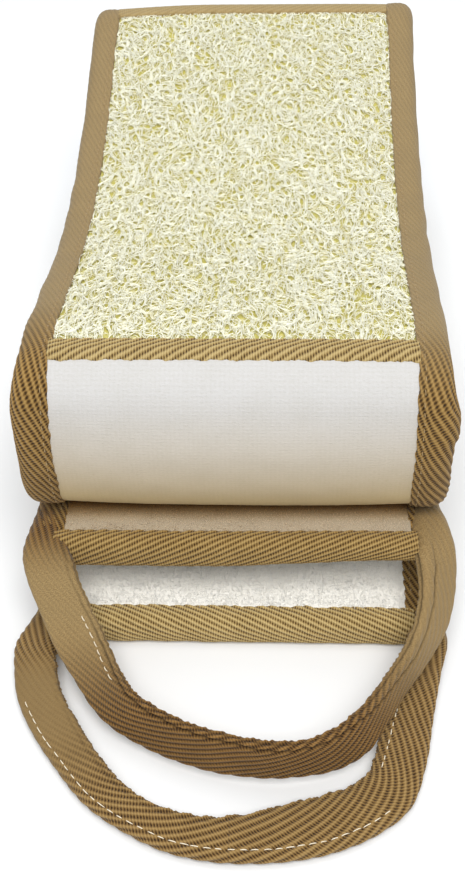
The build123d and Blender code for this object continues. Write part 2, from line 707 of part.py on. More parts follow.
with BuildPart() as handle_a:
    with BuildSketch(Plane.XY):
        with BuildLine():
            Spline(*moved(A_OUTER, Y_SHIFT))
            Spline(*moved(A_INNER, Y_SHIFT))
            Line(moved(A_OUTER, Y_SHIFT)[0], moved(A_INNER, Y_SHIFT)[0])
            Line(moved(A_OUTER, Y_SHIFT)[-1], moved(A_INNER, Y_SHIFT)[-1])
        make_face()
    extrude(amount=A_TOP)
handle_a.part.label = "handle_a"
export_step(handle_a.part, "parts/handle_a.step")


def along(curve, skip, pitch):
    """Evenly spaced places along a curve, leaving skip at both ends: (x, y, heading in degrees)."""
    count = int((curve.length - 2 * skip) / pitch)
    out = []
    for i in range(count + 1):
        t = (skip + i * pitch) / curve.length
        p, d = curve @ t, curve % t
        out.append((p.X, p.Y, math.degrees(math.atan2(d.Y, d.X))))
    return out


STITCH_PITCH, STITCH_L, STITCH_W, STITCH_H = 3.4, 2.4, 0.6, 0.4
A_SEAM = [(o[0] + 0.24 * (i[0] - o[0]), o[1] + 0.24 * (i[1] - o[1])) for o, i in zip(A_OUTER, A_INNER)]

# one row of stitches that closes the folded strap, each thread lying on the strap
with BuildPart() as handle_a_stitches:
    for x, y, turn in along(Spline(*moved(A_SEAM, Y_SHIFT), mode=Mode.PRIVATE), 12.0, STITCH_PITCH):
        with Locations(Location((x, y, A_TOP + 0.02 + STITCH_H / 2), (0, 0, turn))):
            Box(STITCH_L, STITCH_W, STITCH_H)
handle_a_stitches.part.label = "handle_a_stitches"
export_step(handle_a_stitches.part, "parts/handle_a_stitches.step")

# ---------------------------------------------------------------- handle B, the inner loop, standing on its edge
B_TILT = 17.0
B_PLANE = Plane(origin=(0, -2.7 + Y_SHIFT, 20.2), x_dir=(1, 0, 0),
                z_dir=(0, -math.sin(math.radians(B_TILT)), math.cos(math.radians(B_TILT))))
B_OUTER = [(-54.8, 0.0), (-51.5, -11.0), (-45.5, -22.0), (-36.5, -33.5), (-26.0, -42.0), (-13.0, -48.4),
           (0.0, -51.4), (12.0, -51.8), (24.0, -49.4), (34.5, -43.8), (42.6, -34.0), (48.6, -22.0),
           (53.0, -11.0), (54.8, 0.0)]


def inset(points, d):
    """The same open path moved towards its inside by d."""
    out = []
    for i, (x, y) in enumerate(points):
        a, b = points[max(i - 1, 0)], points[min(i + 1, len(points) - 1)]
        tx, ty = b[0] - a[0], b[1] - a[1]
        n = math.hypot(tx, ty)
        out.append((x - ty / n * d, y + tx / n * d))
    return out


B_INNER = inset(B_OUTER, HANDLE_T)
B_INNER[0], B_INNER[-1] = (-54.8 + HANDLE_T, 0.0), (54.8 - HANDLE_T, 0.0)

with BuildPart() as handle_b:
    with BuildSketch(B_PLANE):
        with BuildLine():
            Spline(*B_OUTER)
            Spline(*B_INNER)
            Line(B_OUTER[0], B_INNER[0])
            Line(B_OUTER[-1], B_INNER[-1])
        make_face()
    extrude(amount=HANDLE_W)
handle_b.part.label = "handle_b"
export_step(handle_b.part, "parts/handle_b.step")

# stitches on the outward side of the strap, under its open upper edge
with BuildPart() as handle_b_stitches:
    for x, y, turn in along(Spline(*B_OUTER, mode=Mode.PRIVATE), 10.0, STITCH_PITCH):
        a = math.radians(turn)
        off = 0.06 + STITCH_H / 2
        place = Location((x + off * math.sin(a), y - off * math.cos(a), HANDLE_W - 3.2), (0, 0, turn))
        with Locations(B_PLANE * place):
            Box(STITCH_L, STITCH_H, STITCH_W)
handle_b_stitches.part.label = "handle_b_stitches"
export_step(handle_b_stitches.part, "parts/handle_b_stitches.step")
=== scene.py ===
"""Folded loofah back-scrubber strap: everything that shows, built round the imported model.

Lengths inside this script are in millimetres and are turned into metres when a mesh is made.  The strap is laid out by
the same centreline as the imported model: s runs along the strip from end A on the table to end B under the front roll, x
runs across it, and an offset is measured from the centreline towards the scrubbing face.
"""
import math

import bpy
import numpy as np
from mathutils import Matrix


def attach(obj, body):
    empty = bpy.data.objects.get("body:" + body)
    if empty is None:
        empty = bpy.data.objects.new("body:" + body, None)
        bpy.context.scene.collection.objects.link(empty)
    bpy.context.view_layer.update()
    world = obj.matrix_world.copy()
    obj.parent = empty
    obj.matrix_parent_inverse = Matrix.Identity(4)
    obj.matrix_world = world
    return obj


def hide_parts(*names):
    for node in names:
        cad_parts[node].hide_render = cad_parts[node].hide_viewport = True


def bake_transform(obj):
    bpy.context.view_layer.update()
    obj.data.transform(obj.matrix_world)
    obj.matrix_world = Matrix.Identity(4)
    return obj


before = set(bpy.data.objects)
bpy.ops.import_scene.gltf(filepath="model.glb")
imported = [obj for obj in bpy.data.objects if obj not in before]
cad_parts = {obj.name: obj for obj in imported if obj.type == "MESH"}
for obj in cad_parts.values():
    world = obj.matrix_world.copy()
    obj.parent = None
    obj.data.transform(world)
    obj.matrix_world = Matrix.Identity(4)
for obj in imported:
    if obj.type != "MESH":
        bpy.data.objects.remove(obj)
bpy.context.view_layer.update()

# ------------------------------------------------------------------------------------------------ the strip's layout
Y_SHIFT = -72.1
CENTRELINE = [
    ("line", 204.0), ("arc", 18.0, 82.0), ("arc", 195.0, 15.0), ("arc", 12.0, 107.0), ("arc", 212.0, -24.0),
    ("arc", 165.0, -14.0), ("line", 37.0), ("arc", 72.0, 14.0), ("arc", 8.5, 76.0), ("arc", 58.0, 30.0),
    ("arc", 8.5, 82.0), ("line", 78.0), ("arc", 15.3, -194.6), ("line", 99.0),
]
SEG = []
_y, _z, _h, _s = -7.0 + Y_SHIFT, 4.5, 0.0, 0.0
for item in CENTRELINE:
    if item[0] == "line":
        SEG.append((_s, item[1], _y, _z, _h, 0.0, 0, 0.0, 0.0))
        _y += item[1] * math.cos(_h)
        _z += item[1] * math.sin(_h)
        _s += item[1]
    else:
        r, turn = item[1], math.radians(item[2])
        sg = 1 if turn > 0 else -1
        cy, cz = _y - sg * r * math.sin(_h), _z + sg * r * math.cos(_h)
        SEG.append((_s, r * abs(turn), _y, _z, _h, r, sg, cy, cz))
        _h += turn
        _y, _z = cy + sg * r * math.sin(_h), cz - sg * r * math.cos(_h)
        _s += r * abs(turn)
LENGTH = _s
S = [g[0] for g in SEG]
MID_BACK, MID_TOP, MID_ROLL = 255.3, 391.8, 513.8
MID_TUCKED, MID_INNER = 579.7, (S[12] + S[13]) / 2
CUTS = [0.0, MID_BACK, MID_TOP, MID_ROLL, MID_TUCKED, MID_INNER, LENGTH]
TURNS = [(S[1] - 1, S[2] + 4), (S[3] - 4, S[4] + 1), (S[8] - 2, S[9] + 5), (S[10] - 5, S[11] + 2),
         (S[12] - 1, MID_INNER), (MID_INNER, S[13] + 1)]
LEFT, RIGHT = -1.0, 1.0


def centre(s):
    """Centreline point and heading at arc length s (arrays)."""
    s = np.asarray(s, float)
    y, z, h = np.zeros_like(s), np.zeros_like(s), np.zeros_like(s)
    for i, (s0, ln, gy, gz, gh, r, sg, cy, cz) in enumerate(SEG):
        m = np.ones(s.shape, bool)
        if i:
            m &= s >= s0
        if i < len(SEG) - 1:
            m &= s < s0 + ln
        u = s[m] - s0
        if sg == 0:
            y[m], z[m], h[m] = gy + u * math.cos(gh), gz + u * math.sin(gh), gh
        else:
            hh = gh + sg * u / r
            y[m], z[m], h[m] = cy + sg * r * np.sin(hh), cz - sg * r * np.cos(hh), hh
    return y, z, h


def step(a, b, v):
    t = np.clip((np.asarray(v, float) - a) / (b - a), 0, 1)
    return t * t * (3 - 2 * t)


def place(x, s, off):
    """Row-frame points in mm for strip coordinates; the free end B is lifted a little at its right corner."""
    x, s, off = np.broadcast_arrays(np.asarray(x, float), np.asarray(s, float), np.asarray(off, float))
    y, z, h = centre(s)
    py, pz = y + off * np.sin(h), z - off * np.cos(h)
    near = step(LENGTH - 34, LENGTH - 2, s) * step(-12, 47, x)
    pz = pz + near * (0.9 + 2.3 * (0.5 - off / 9.0))
    pz = pz - (1.0 + 1.5 * step(-8, -56, x) ** 1.4) * step(262, 290, s) * (1 - step(296, 322, s))
    rise = step(508, 534, s) * (1 - step(548, 582, s))                 # the roll's lower corner sits a little back and up
    return np.stack([x, py + 1.05 * rise, pz + 1.20 * rise], -1)


def normal(s):
    y, z, h = centre(s)
    return np.stack([np.zeros_like(h), np.sin(h), -np.cos(h)], -1)


# ------------------------------------------------------------------------------------------------ small maths helpers
def wave(t, seed, length, n=5):
    """Smooth seeded wobble in about -1..1."""
    g = np.random.default_rng(seed)
    t = np.asarray(t, float)
    out = np.zeros_like(t)
    for _ in range(n):
        out = out + np.sin(2 * np.pi * t / (length * g.uniform(0.6, 1.7)) + g.uniform(0, 2 * np.pi))
    return out / n * 1.4


def wave2(a, b, seed, length, n=14):
    g = np.random.default_rng(seed)
    a, b = np.broadcast_arrays(np.asarray(a, float), np.asarray(b, float))
    out = np.zeros(a.shape)
    for _ in range(n):
        th, k = g.uniform(0, 2 * np.pi), 2 * np.pi / (length * g.uniform(0.65, 1.6))
        out += np.sin(k * (a * math.cos(th) + b * math.sin(th)) + g.uniform(0, 2 * np.pi))
    return out / n * 2.0


RIB, FLOAT = 1.50, 0.74          # spacing of the twill's ribs, and of the yarn floats along a rib


def twill(u, v, angle, rib=RIB, slant=0.8):
    """Relief of a twill tape, 0..1: raised diagonal ribs made of short slanting yarn floats. u across, v along."""
    ca, sa = math.cos(angle), math.sin(angle)
    ph = (u * ca - v * sa) / rib
    q = (u * sa + v * ca) / FLOAT
    groove = (0.5 - 0.5 * np.cos(2 * np.pi * ph)) ** 1.15
    gap = 0.5 + 0.5 * np.cos(2 * np.pi * (q + slant * ph))
    return 1 - groove * (0.55 + 0.45 * gap)


# ------------------------------------------------------------------------------------------------ mesh helpers
def make(name, verts, faces, material, uv=None, floats=None, smooth=True, scale=0.001):
    """A mesh object from arrays; faces is a list of (n, k) index arrays, uv is per vertex in mm."""
    me = bpy.data.meshes.new(name)
    verts = np.ascontiguousarray(verts.reshape(-1, 3) * scale, dtype=np.float32)
    me.vertices.add(len(verts))
    me.vertices.foreach_set("co", verts.ravel())
    loops = np.concatenate([f.ravel() for f in faces]).astype(np.int32)
    counts = np.concatenate([np.full(len(f), f.shape[1]) for f in faces])
    starts = np.concatenate([[0], np.cumsum(counts)[:-1]]).astype(np.int32)
    me.loops.add(len(loops))
    me.loops.foreach_set("vertex_index", loops)
    me.polygons.add(len(counts))
    me.polygons.foreach_set("loop_start", starts)
    me.update(calc_edges=True)
    me.polygons.foreach_set("use_smooth", np.full(len(counts), smooth))
    if uv is not None:
        layer = me.uv_layers.new(name="Cloth")
        per = (uv.reshape(-1, 2) * 0.1)[loops]
        layer.data.foreach_set("uv", np.ascontiguousarray(per, dtype=np.float32).ravel())
    for key, val in (floats or {}).items():
        at = me.attributes.new(key, "FLOAT", "POINT")
        at.data.foreach_set("value", np.ascontiguousarray(val.ravel(), dtype=np.float32))
    me.materials.append(material)
    me.update()
    ob = bpy.data.objects.new(name, me)
    bpy.context.scene.collection.objects.link(ob)
    return ob


def tube_faces(nv, nu):
    """Quads of a grid closed round u (v rows, u columns), outward for rows that run along the tube and columns
    anticlockwise seen from its start."""
    v, u = np.meshgrid(np.arange(nv - 1), np.arange(nu), indexing="ij")
    a, b = v * nu + u, v * nu + (u + 1) % nu
    c, d = (v + 1) * nu + (u + 1) % nu, (v + 1) * nu + u
    return np.stack([a, d, c, b], -1).reshape(-1, 4)


def outward(ob):
    """Makes the faces of a closed piece point out, by the sign of its volume."""
    me = ob.data
    n = len(me.vertices)
    co = np.empty(n * 3, np.float32)
    me.vertices.foreach_get("co", co)
    co = co.reshape(-1, 3).astype(float)
    me.calc_loop_triangles()
    t = np.empty(len(me.loop_triangles) * 3, np.int32)
    me.loop_triangles.foreach_get("vertices", t)
    a, b, c = (co[t.reshape(-1, 3)[:, i]] for i in range(3))
    if np.einsum("ij,ij->i", a, np.cross(b, c)).sum() < 0:
        me.flip_normals()
    return ob


def loft(name, rows, material, uv=None, floats=None):
    """Closed solid from rows of points, each row a closed outline, with flat caps."""
    nv, nu = rows.shape[:2]
    faces = [tube_faces(nv, nu), np.arange(nu)[None, :], ((nv - 1) * nu + np.arange(nu)[::-1])[None, :]]
    ob = make(name, rows, faces, material, uv, floats)
    for k in (-1, -2):
        ob.data.polygons[k].use_smooth = False
    return outward(ob)


def strands(name, pts, rad, ref, material, sides=3, flat=1.0, floats=None, uv=None):
    """Many thin closed tubes at once. pts (F, K, 3), rad (F, K), ref (F, K, 3) is roughly the surface's normal."""
    t = np.gradient(pts, axis=1)
    t /= np.linalg.norm(t, axis=-1, keepdims=True) + 1e-9
    b = np.cross(t, ref)
    b /= np.linalg.norm(b, axis=-1, keepdims=True) + 1e-9
    n = np.cross(b, t)
    f, k, _ = pts.shape
    ang = 2 * np.pi * np.arange(sides) / sides + np.pi / 2
    ring = pts[:, :, None, :] + rad[:, :, None, None] * (
        np.cos(ang)[None, None, :, None] * b[:, :, None, :] + flat * np.sin(ang)[None, None, :, None] * n[:, :, None, :])
    base = (np.arange(f) * k * sides)[:, None, None]
    kk, jj = np.meshgrid(np.arange(k - 1), np.arange(sides), indexing="ij")
    a = kk * sides + jj
    q = np.stack([a, (kk + 1) * sides + jj, (kk + 1) * sides + (jj + 1) % sides, kk * sides + (jj + 1) % sides], -1)
    quads = (q.reshape(-1, 4)[None] + base).reshape(-1, 4)
    cap0 = (np.arange(sides)[None] + base[:, 0]).reshape(-1, sides)
    cap1 = ((k - 1) * sides + np.arange(sides)[::-1][None] + base[:, 0]).reshape(-1, sides)
    fl = {key: np.repeat(val[:, :, None], sides, 2) for key, val in (floats or {}).items()}
    u = None if uv is None else np.repeat(uv[:, :, None, :], sides, 2)
    return make(name, ring, [quads, cap0, cap1], material, u, fl)


# ------------------------------------------------------------------------------------------------ materials
def lin(r, g, b):
    return tuple((c / 255 / 12.92) if c / 255 <= 0.04045 else ((c / 255 + 0.055) / 1.055) ** 2.4 for c in (r, g, b)) + (1.0,)


class Nodes:
    """Short hand for building a node tree."""

    def __init__(self, name):
        self.mat = bpy.data.materials.new(name)
        self.mat.use_nodes = True
        self.t = self.mat.node_tree
        self.bsdf = self.t.nodes["Principled BSDF"]

    def new(self, kind, **values):
        n = self.t.nodes.new(kind)
        for k, v in values.items():
            if hasattr(n, k):
                setattr(n, k, v)
            else:
                n.inputs[k].default_value = v
        return n

    def link(self, a, b):
        self.t.links.new(a, b)

    def math(self, op, a, b=None, c=None, clamp=False):
        n = self.t.nodes.new("ShaderNodeMath")
        n.operation, n.use_clamp = op, clamp
        for i, v in enumerate((a, b, c)):
            if v is None:
                continue
            if isinstance(v, (int, float)):
                n.inputs[i].default_value = v
            else:
                self.link(v, n.inputs[i])
        return n.outputs[0]

    def ramp(self, fac, stops, mode="LINEAR"):
        n = self.t.nodes.new("ShaderNodeValToRGB")
        n.color_ramp.interpolation = mode
        while len(n.color_ramp.elements) < len(stops):
            n.color_ramp.elements.new(0.5)
        for e, (p, c) in zip(n.color_ramp.elements, stops):
            e.position, e.color = p, c
        self.link(fac, n.inputs[0])
        return n.outputs[0]

    def mix(self, fac, a, b, mode="MIX"):
        n = self.t.nodes.new("ShaderNodeMix")
        n.data_type, n.blend_type = "RGBA", mode
        for sock, v in ((n.inputs[0], fac), (n.inputs[6], a), (n.inputs[7], b)):
            if isinstance(v, (int, float, tuple)):
                sock.default_value = v
            else:
                self.link(v, sock)
        return n.outputs[2]

    def noise(self, vec, scale, detail=2.0, rough=0.5, dims="3D"):
        n = self.t.nodes.new("ShaderNodeTexNoise")
        n.noise_dimensions = dims
        n.inputs["Scale"].default_value = scale
        n.inputs["Detail"].default_value = detail
        n.inputs["Roughness"].default_value = rough
        self.link(vec, n.inputs["Vector"])
        return n.outputs["Fac"]

    def bump(self, height, strength, distance):
        n = self.t.nodes.new("ShaderNodeBump")
        n.inputs["Strength"].default_value = strength
        n.inputs["Distance"].default_value = distance
        self.link(height, n.inputs["Height"])
        self.link(n.outputs[0], self.bsdf.inputs["Normal"])

    def uv(self):
        n = self.t.nodes.new("ShaderNodeUVMap")
        n.uv_map = "Cloth"
        return n.outputs[0]

    def attr(self, name):
        n = self.t.nodes.new("ShaderNodeAttribute")
        n.attribute_name = name
        return n.outputs["Fac"]


def tape_material(name, angle, light, mid, dark, pale, rib=RIB, slant=0.8, across=0.30):
    """Cotton twill tape: the relief's own pattern again in colour, its grooves and yarn gaps darker as painted shade,
    finer yarn bumps, soft blotches and a little sheen.
    """
    m = Nodes(name)
    uv = m.uv()
    sep = m.new("ShaderNodeSeparateXYZ")
    m.link(uv, sep.inputs[0])
    u, v = sep.outputs[0], sep.outputs[1]          # centimetres
    ca, sa = math.cos(angle), math.sin(angle)
    wob = m.math("MULTIPLY", m.math("SUBTRACT", m.noise(uv, 2.2, 2.0), 0.5), 0.55)
    ph = m.math("ADD", m.math("ADD", m.math("MULTIPLY", u, ca * 10 / rib), m.math("MULTIPLY", v, -sa * 10 / rib)), 0.0)
    q = m.math("ADD", m.math("MULTIPLY", u, sa * 10 / FLOAT), m.math("MULTIPLY", v, ca * 10 / FLOAT))
    wave_ = m.math("COSINE", m.math("MULTIPLY", ph, 2 * math.pi))
    groove = m.math("POWER", m.math("MULTIPLY_ADD", wave_, -0.5, 0.5), 1.15)
    qq = m.math("ADD", m.math("ADD", q, m.math("MULTIPLY", ph, slant)), wob)
    gap = m.math("MULTIPLY_ADD", m.math("COSINE", m.math("MULTIPLY", qq, 2 * math.pi)), 0.5, 0.5)
    dip = m.math("MULTIPLY", groove, m.math("MULTIPLY_ADD", gap, 0.60, 0.40))
    dip = m.math("MULTIPLY_ADD", m.math("MULTIPLY", gap, m.math("SUBTRACT", 1.0, groove)), across, dip)
    uneven = m.noise(uv, 14.0, 3.0, 0.7)
    dip = m.math("MULTIPLY", dip, m.math("MULTIPLY_ADD", uneven, 1.1, 0.42))
    height = m.math("SUBTRACT", 1.0, dip)
    crisp = m.attr("crisp")
    height = m.math("MULTIPLY_ADD", m.math("SUBTRACT", height, 0.55), crisp, 0.55)
    fine = m.noise(uv, 60, 3.0, 0.65)
    blot = m.noise(uv, 1.1, 3.0, 0.6)
    tone = m.math("MULTIPLY_ADD", fine, 0.55, m.math("MULTIPLY_ADD", blot, 0.26, m.math("MULTIPLY", height, 0.80)))
    tone = m.math("ADD", tone, -0.36)
    # the ramp's dark end is painted shade in the weave's grooves and yarn gaps
    colour = m.ramp(tone, [(0.10, dark), (0.42, mid), (0.84, light)])
    soft = m.mix(m.math("MULTIPLY_ADD", m.noise(uv, 34, 3.0, 0.7), 2.6, -0.95, clamp=True), pale, mid)
    colour = m.mix(m.math("MULTIPLY", m.math("SUBTRACT", 1.0, crisp), 0.9), colour, soft)
    # painted shade along the strap's seam groove and in the fold's slit, by the shade attribute
    colour = m.mix(m.attr("shade"), colour, tuple(0.55 * v for v in dark[:3]) + (1.0,))
    m.link(colour, m.bsdf.inputs["Base Color"])
    m.bsdf.inputs["Roughness"].default_value = 0.78
    m.bsdf.inputs["Sheen Weight"].default_value = 0.09
    m.bsdf.inputs["Sheen Roughness"].default_value = 0.45
    m.bsdf.inputs["Specular IOR Level"].default_value = 0.22
    m.bump(m.math("MULTIPLY_ADD", fine, 0.22, height), 0.85, 0.00034)
    return m.mat


def terry_material(name, light, warm):
    m = Nodes(name)
    uv = m.uv()
    sep = m.new("ShaderNodeSeparateXYZ")
    m.link(uv, sep.inputs[0])
    u, v = sep.outputs[0], sep.outputs[1]
    wob = m.math("MULTIPLY", m.noise(uv, 3.0, 2.0), 1.2)
    cols = m.math("MULTIPLY_ADD", m.math("COSINE", m.math("ADD", m.math("MULTIPLY", u, 2 * math.pi / 0.115), wob)), 0.5, 0.5)
    rows = m.math("MULTIPLY_ADD", m.math("COSINE", m.math("ADD", m.math("MULTIPLY", v, 2 * math.pi / 0.088), wob)), 0.5, 0.5)
    knit = m.new("ShaderNodeCombineXYZ")
    m.link(m.math("MULTIPLY", u, 9.0), knit.inputs[0])
    m.link(m.math("MULTIPLY", v, 34.0), knit.inputs[1])
    rowy = m.noise(knit.outputs[0], 1.0, 2.0, 0.6)
    fine = m.math("MULTIPLY_ADD", rowy, 0.6, m.math("MULTIPLY", m.noise(uv, 42, 3.0, 0.7), 0.5))
    blot = m.noise(uv, 1.0, 3.0, 0.6)
    h = m.math("ADD", m.math("MULTIPLY", m.math("MULTIPLY_ADD", cols, 0.4, m.math("MULTIPLY", rows, 0.6)), 0.16),
               m.math("MULTIPLY", fine, 1.05))
    tone = m.math("MULTIPLY_ADD", blot, 0.35, m.math("MULTIPLY_ADD", h, 0.90, -0.20))
    cloth = m.ramp(tone, [(0.12, warm), (0.74, light)])
    # multiplies in tan by its attribute: a light cream tint, and painted warm shade under the roll and on the end run
    cloth = m.mix(m.attr("cream_tint_and_painted_warm_shade"), cloth, m.mix(1.0, cloth, lin(244, 207, 114), "MULTIPLY"))
    # painted occlusion shade: darker brown by its attribute where the end run lies under the roll
    m.link(m.mix(m.attr("painted_occlusion_shade"), cloth, m.mix(1.0, cloth, lin(172, 128, 62), "MULTIPLY")), m.bsdf.inputs["Base Color"])
    m.bsdf.inputs["Roughness"].default_value = 0.92
    m.bsdf.inputs["Sheen Weight"].default_value = 0.12
    m.bsdf.inputs["Sheen Roughness"].default_value = 0.6
    m.bsdf.inputs["Specular IOR Level"].default_value = 0.12
    m.bump(h, 0.75, 0.0003)
    return m.mat


def pile_material():
    m = Nodes("terry_pile")
    rnd = m.attr("tone")
    # tufts near white, lighter than the face terry: white pile, lifted further as painted light for the shaded lower
    # layer
    tuft = m.ramp(rnd, [(0.0, lin(243, 241, 235)), (0.6, lin(251, 250, 246)), (1.0, lin(254, 253, 251))])
    # the same cream tint, painted warm shade and painted occlusion shade on the tufts
    tuft = m.mix(m.attr("cream_tint_and_painted_warm_shade"), tuft, m.mix(1.0, tuft, lin(240, 200, 116), "MULTIPLY"))
    m.link(m.mix(m.attr("painted_occlusion_shade"), tuft, m.mix(1.0, tuft, lin(172, 128, 62), "MULTIPLY")), m.bsdf.inputs["Base Color"])
    m.bsdf.inputs["Roughness"].default_value = 0.85
    m.bsdf.inputs["Specular IOR Level"].default_value = 0.15
    return m.mat


def fibre_material():
    m = Nodes("loofah_fibre")
    depth = m.attr("tone")
    uv = m.uv()
    streak = m.noise(uv, 9.0, 2.0, 0.6)
    # deeper fibres are darker and more olive: partly the gourd's own yellow, partly painted shade in the mat's hollows
    tone = m.math("MULTIPLY_ADD", m.math("SUBTRACT", streak, 0.5), 0.30, depth)
    m.link(m.ramp(tone, [(0.0, lin(222, 212, 144)), (0.22, lin(246, 240, 202)), (0.55, lin(255, 253, 232)),
                         (0.92, lin(255, 254, 240))]), m.bsdf.inputs["Base Color"])
    m.bsdf.inputs["Roughness"].default_value = 0.5
    m.bsdf.inputs["Specular IOR Level"].default_value = 0.35
    m.bump(streak, 0.2, 0.0001)
    return m.mat


def bed_material():
    m = Nodes("loofah_bed")
    uv = m.uv()
    n1 = m.noise(uv, 7.0, 3.0, 0.6)
    n2 = m.noise(uv, 30.0, 3.0, 0.7)
    tone = m.math("MULTIPLY_ADD", n2, 0.5, m.math("MULTIPLY", n1, 0.6))
    # the bed seen through the holes is darker olive than the fibres: partly the gourd's own yellow, partly painted
    # shade in the hollows
    m.link(m.ramp(tone, [(0.30, lin(162, 152, 68)), (0.55, lin(194, 185, 98)), (0.80, lin(222, 215, 144))]),
           m.bsdf.inputs["Base Color"])
    m.bsdf.inputs["Roughness"].default_value = 0.8
    m.bump(n2, 0.6, 0.0005)
    return m.mat


def thread_material(name, colour, shade):
    m = Nodes(name)
    uv = m.uv()
    n = m.noise(uv, 50.0, 2.0, 0.6)
    m.link(m.ramp(n, [(0.3, shade), (0.7, colour)]), m.bsdf.inputs["Base Color"])
    m.bsdf.inputs["Roughness"].default_value = 0.6
    m.bsdf.inputs["Sheen Weight"].default_value = 0.2
    m.bump(n, 0.3, 0.0001)
    return m.mat


def wadding_material():
    m = Nodes("wadding")
    uv = m.uv()
    n = m.noise(uv, 6.0, 5.0, 0.7)
    m.link(m.ramp(n, [(0.3, lin(214, 210, 200)), (0.7, lin(242, 240, 234))]), m.bsdf.inputs["Base Color"])
    m.bsdf.inputs["Roughness"].default_value = 0.95
    m.bump(n, 0.8, 0.0008)
    return m.mat


# T_DARK and each tape's dark colour stand for painted shade in the weave's grooves
T_LIGHT, T_MID, T_DARK = lin(158, 126, 72), lin(93, 66, 26), lin(40, 24, 4)
BAND_TURN, STRAP_TURN, STRAP_RIB = math.radians(-27), math.radians(24), 1.8
PALE_SIDE, PALE_STRAP = lin(178, 160, 121), lin(140, 120, 82)
# the end tapes are copies of the band tape: end A's lighter as painted light, end B's darker as painted shade where the
# roll's shadow falls
MAT_BAND = tape_material("cotton_band", BAND_TURN, lin(186, 164, 114), lin(140, 115, 68), lin(62, 42, 14), PALE_SIDE)
MAT_BAND_A_PAINTED_LIGHT = tape_material("cotton_band_lower_painted_light", BAND_TURN, lin(202, 178, 124), lin(152, 125, 75), lin(68, 47, 17), PALE_SIDE)
MAT_BAND_B_PAINTED_SHADE = tape_material("cotton_band_end_painted_shade", BAND_TURN, lin(176, 148, 94), lin(128, 99, 52), lin(54, 35, 10), PALE_SIDE)
MAT_STRAP = tape_material("cotton_strap", STRAP_TURN, lin(156, 127, 79), lin(110, 82, 42), lin(48, 30, 10), PALE_STRAP, STRAP_RIB)
# loop B's tape is a darker copy of the strap tape: painted shade for a loop that stands on edge in shadow
MAT_STRAP_B_PAINTED_SHADE = tape_material("cotton_strap_inner_painted_shade", STRAP_TURN, lin(140, 105, 56), lin(90, 62, 27), lin(36, 21, 7), lin(180, 157, 110),
                            STRAP_RIB)
MAT_TERRY = terry_material("terry", lin(196, 194, 193), lin(180, 177, 170))
# the back terry is a near-white copy of the terry: painted light lifting the shaded lower layer
MAT_TERRY_BACK_PAINTED_LIGHT = terry_material("terry_back", lin(250, 249, 246), lin(240, 237, 229))
MAT_PILE = pile_material()
MAT_FIBRE = fibre_material()
MAT_BED = bed_material()
MAT_WHITE = thread_material("white_thread", lin(236, 226, 206), lin(204, 188, 158))
MAT_TAN = thread_material("tan_thread", lin(164, 138, 94), lin(126, 100, 58))
MAT_WAD = wadding_material()


# ------------------------------------------------------------------------------------------------ placing pieces and sampling the strip
def bend_with(ob, i):
    """Bakes the piece's placement into its mesh; the ends of fold step i are worked out but not used."""
    a, b = TURNS[i]
    p, q = place(0, a, 0) * 0.001, place(0, b, 0) * 0.001
    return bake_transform(ob)


def part_of(s):
    """Which of the strip's lengths s is in."""
    return int(np.clip(np.searchsorted(CUTS, s, "right") - 1, 0, 5))


RUN = ["lower", "back", "top", "roll", "tucked", "end"]
HALF = {"face": 46.9, "back": 46.9}


def fine(s0, s1, show, hidden):
    """Sampling along the strip: fine where it shows, coarser where it is folded away."""
    out, s = [s0], s0
    while s < s1 - 1e-6:
        seen = 190 < s < 552 or s < 60 or s > LENGTH - 52
        s += show if seen else hidden
        out.append(min(s, s1))
    return np.array([out[0], out[0] + 0.02] + out[1:-1] + [out[-1] - 0.02, out[-1]])


# ------------------------------------------------------------------------------------------------ terry panels
def crown(x):
    return 1 - np.abs(x / 46.9) ** 5


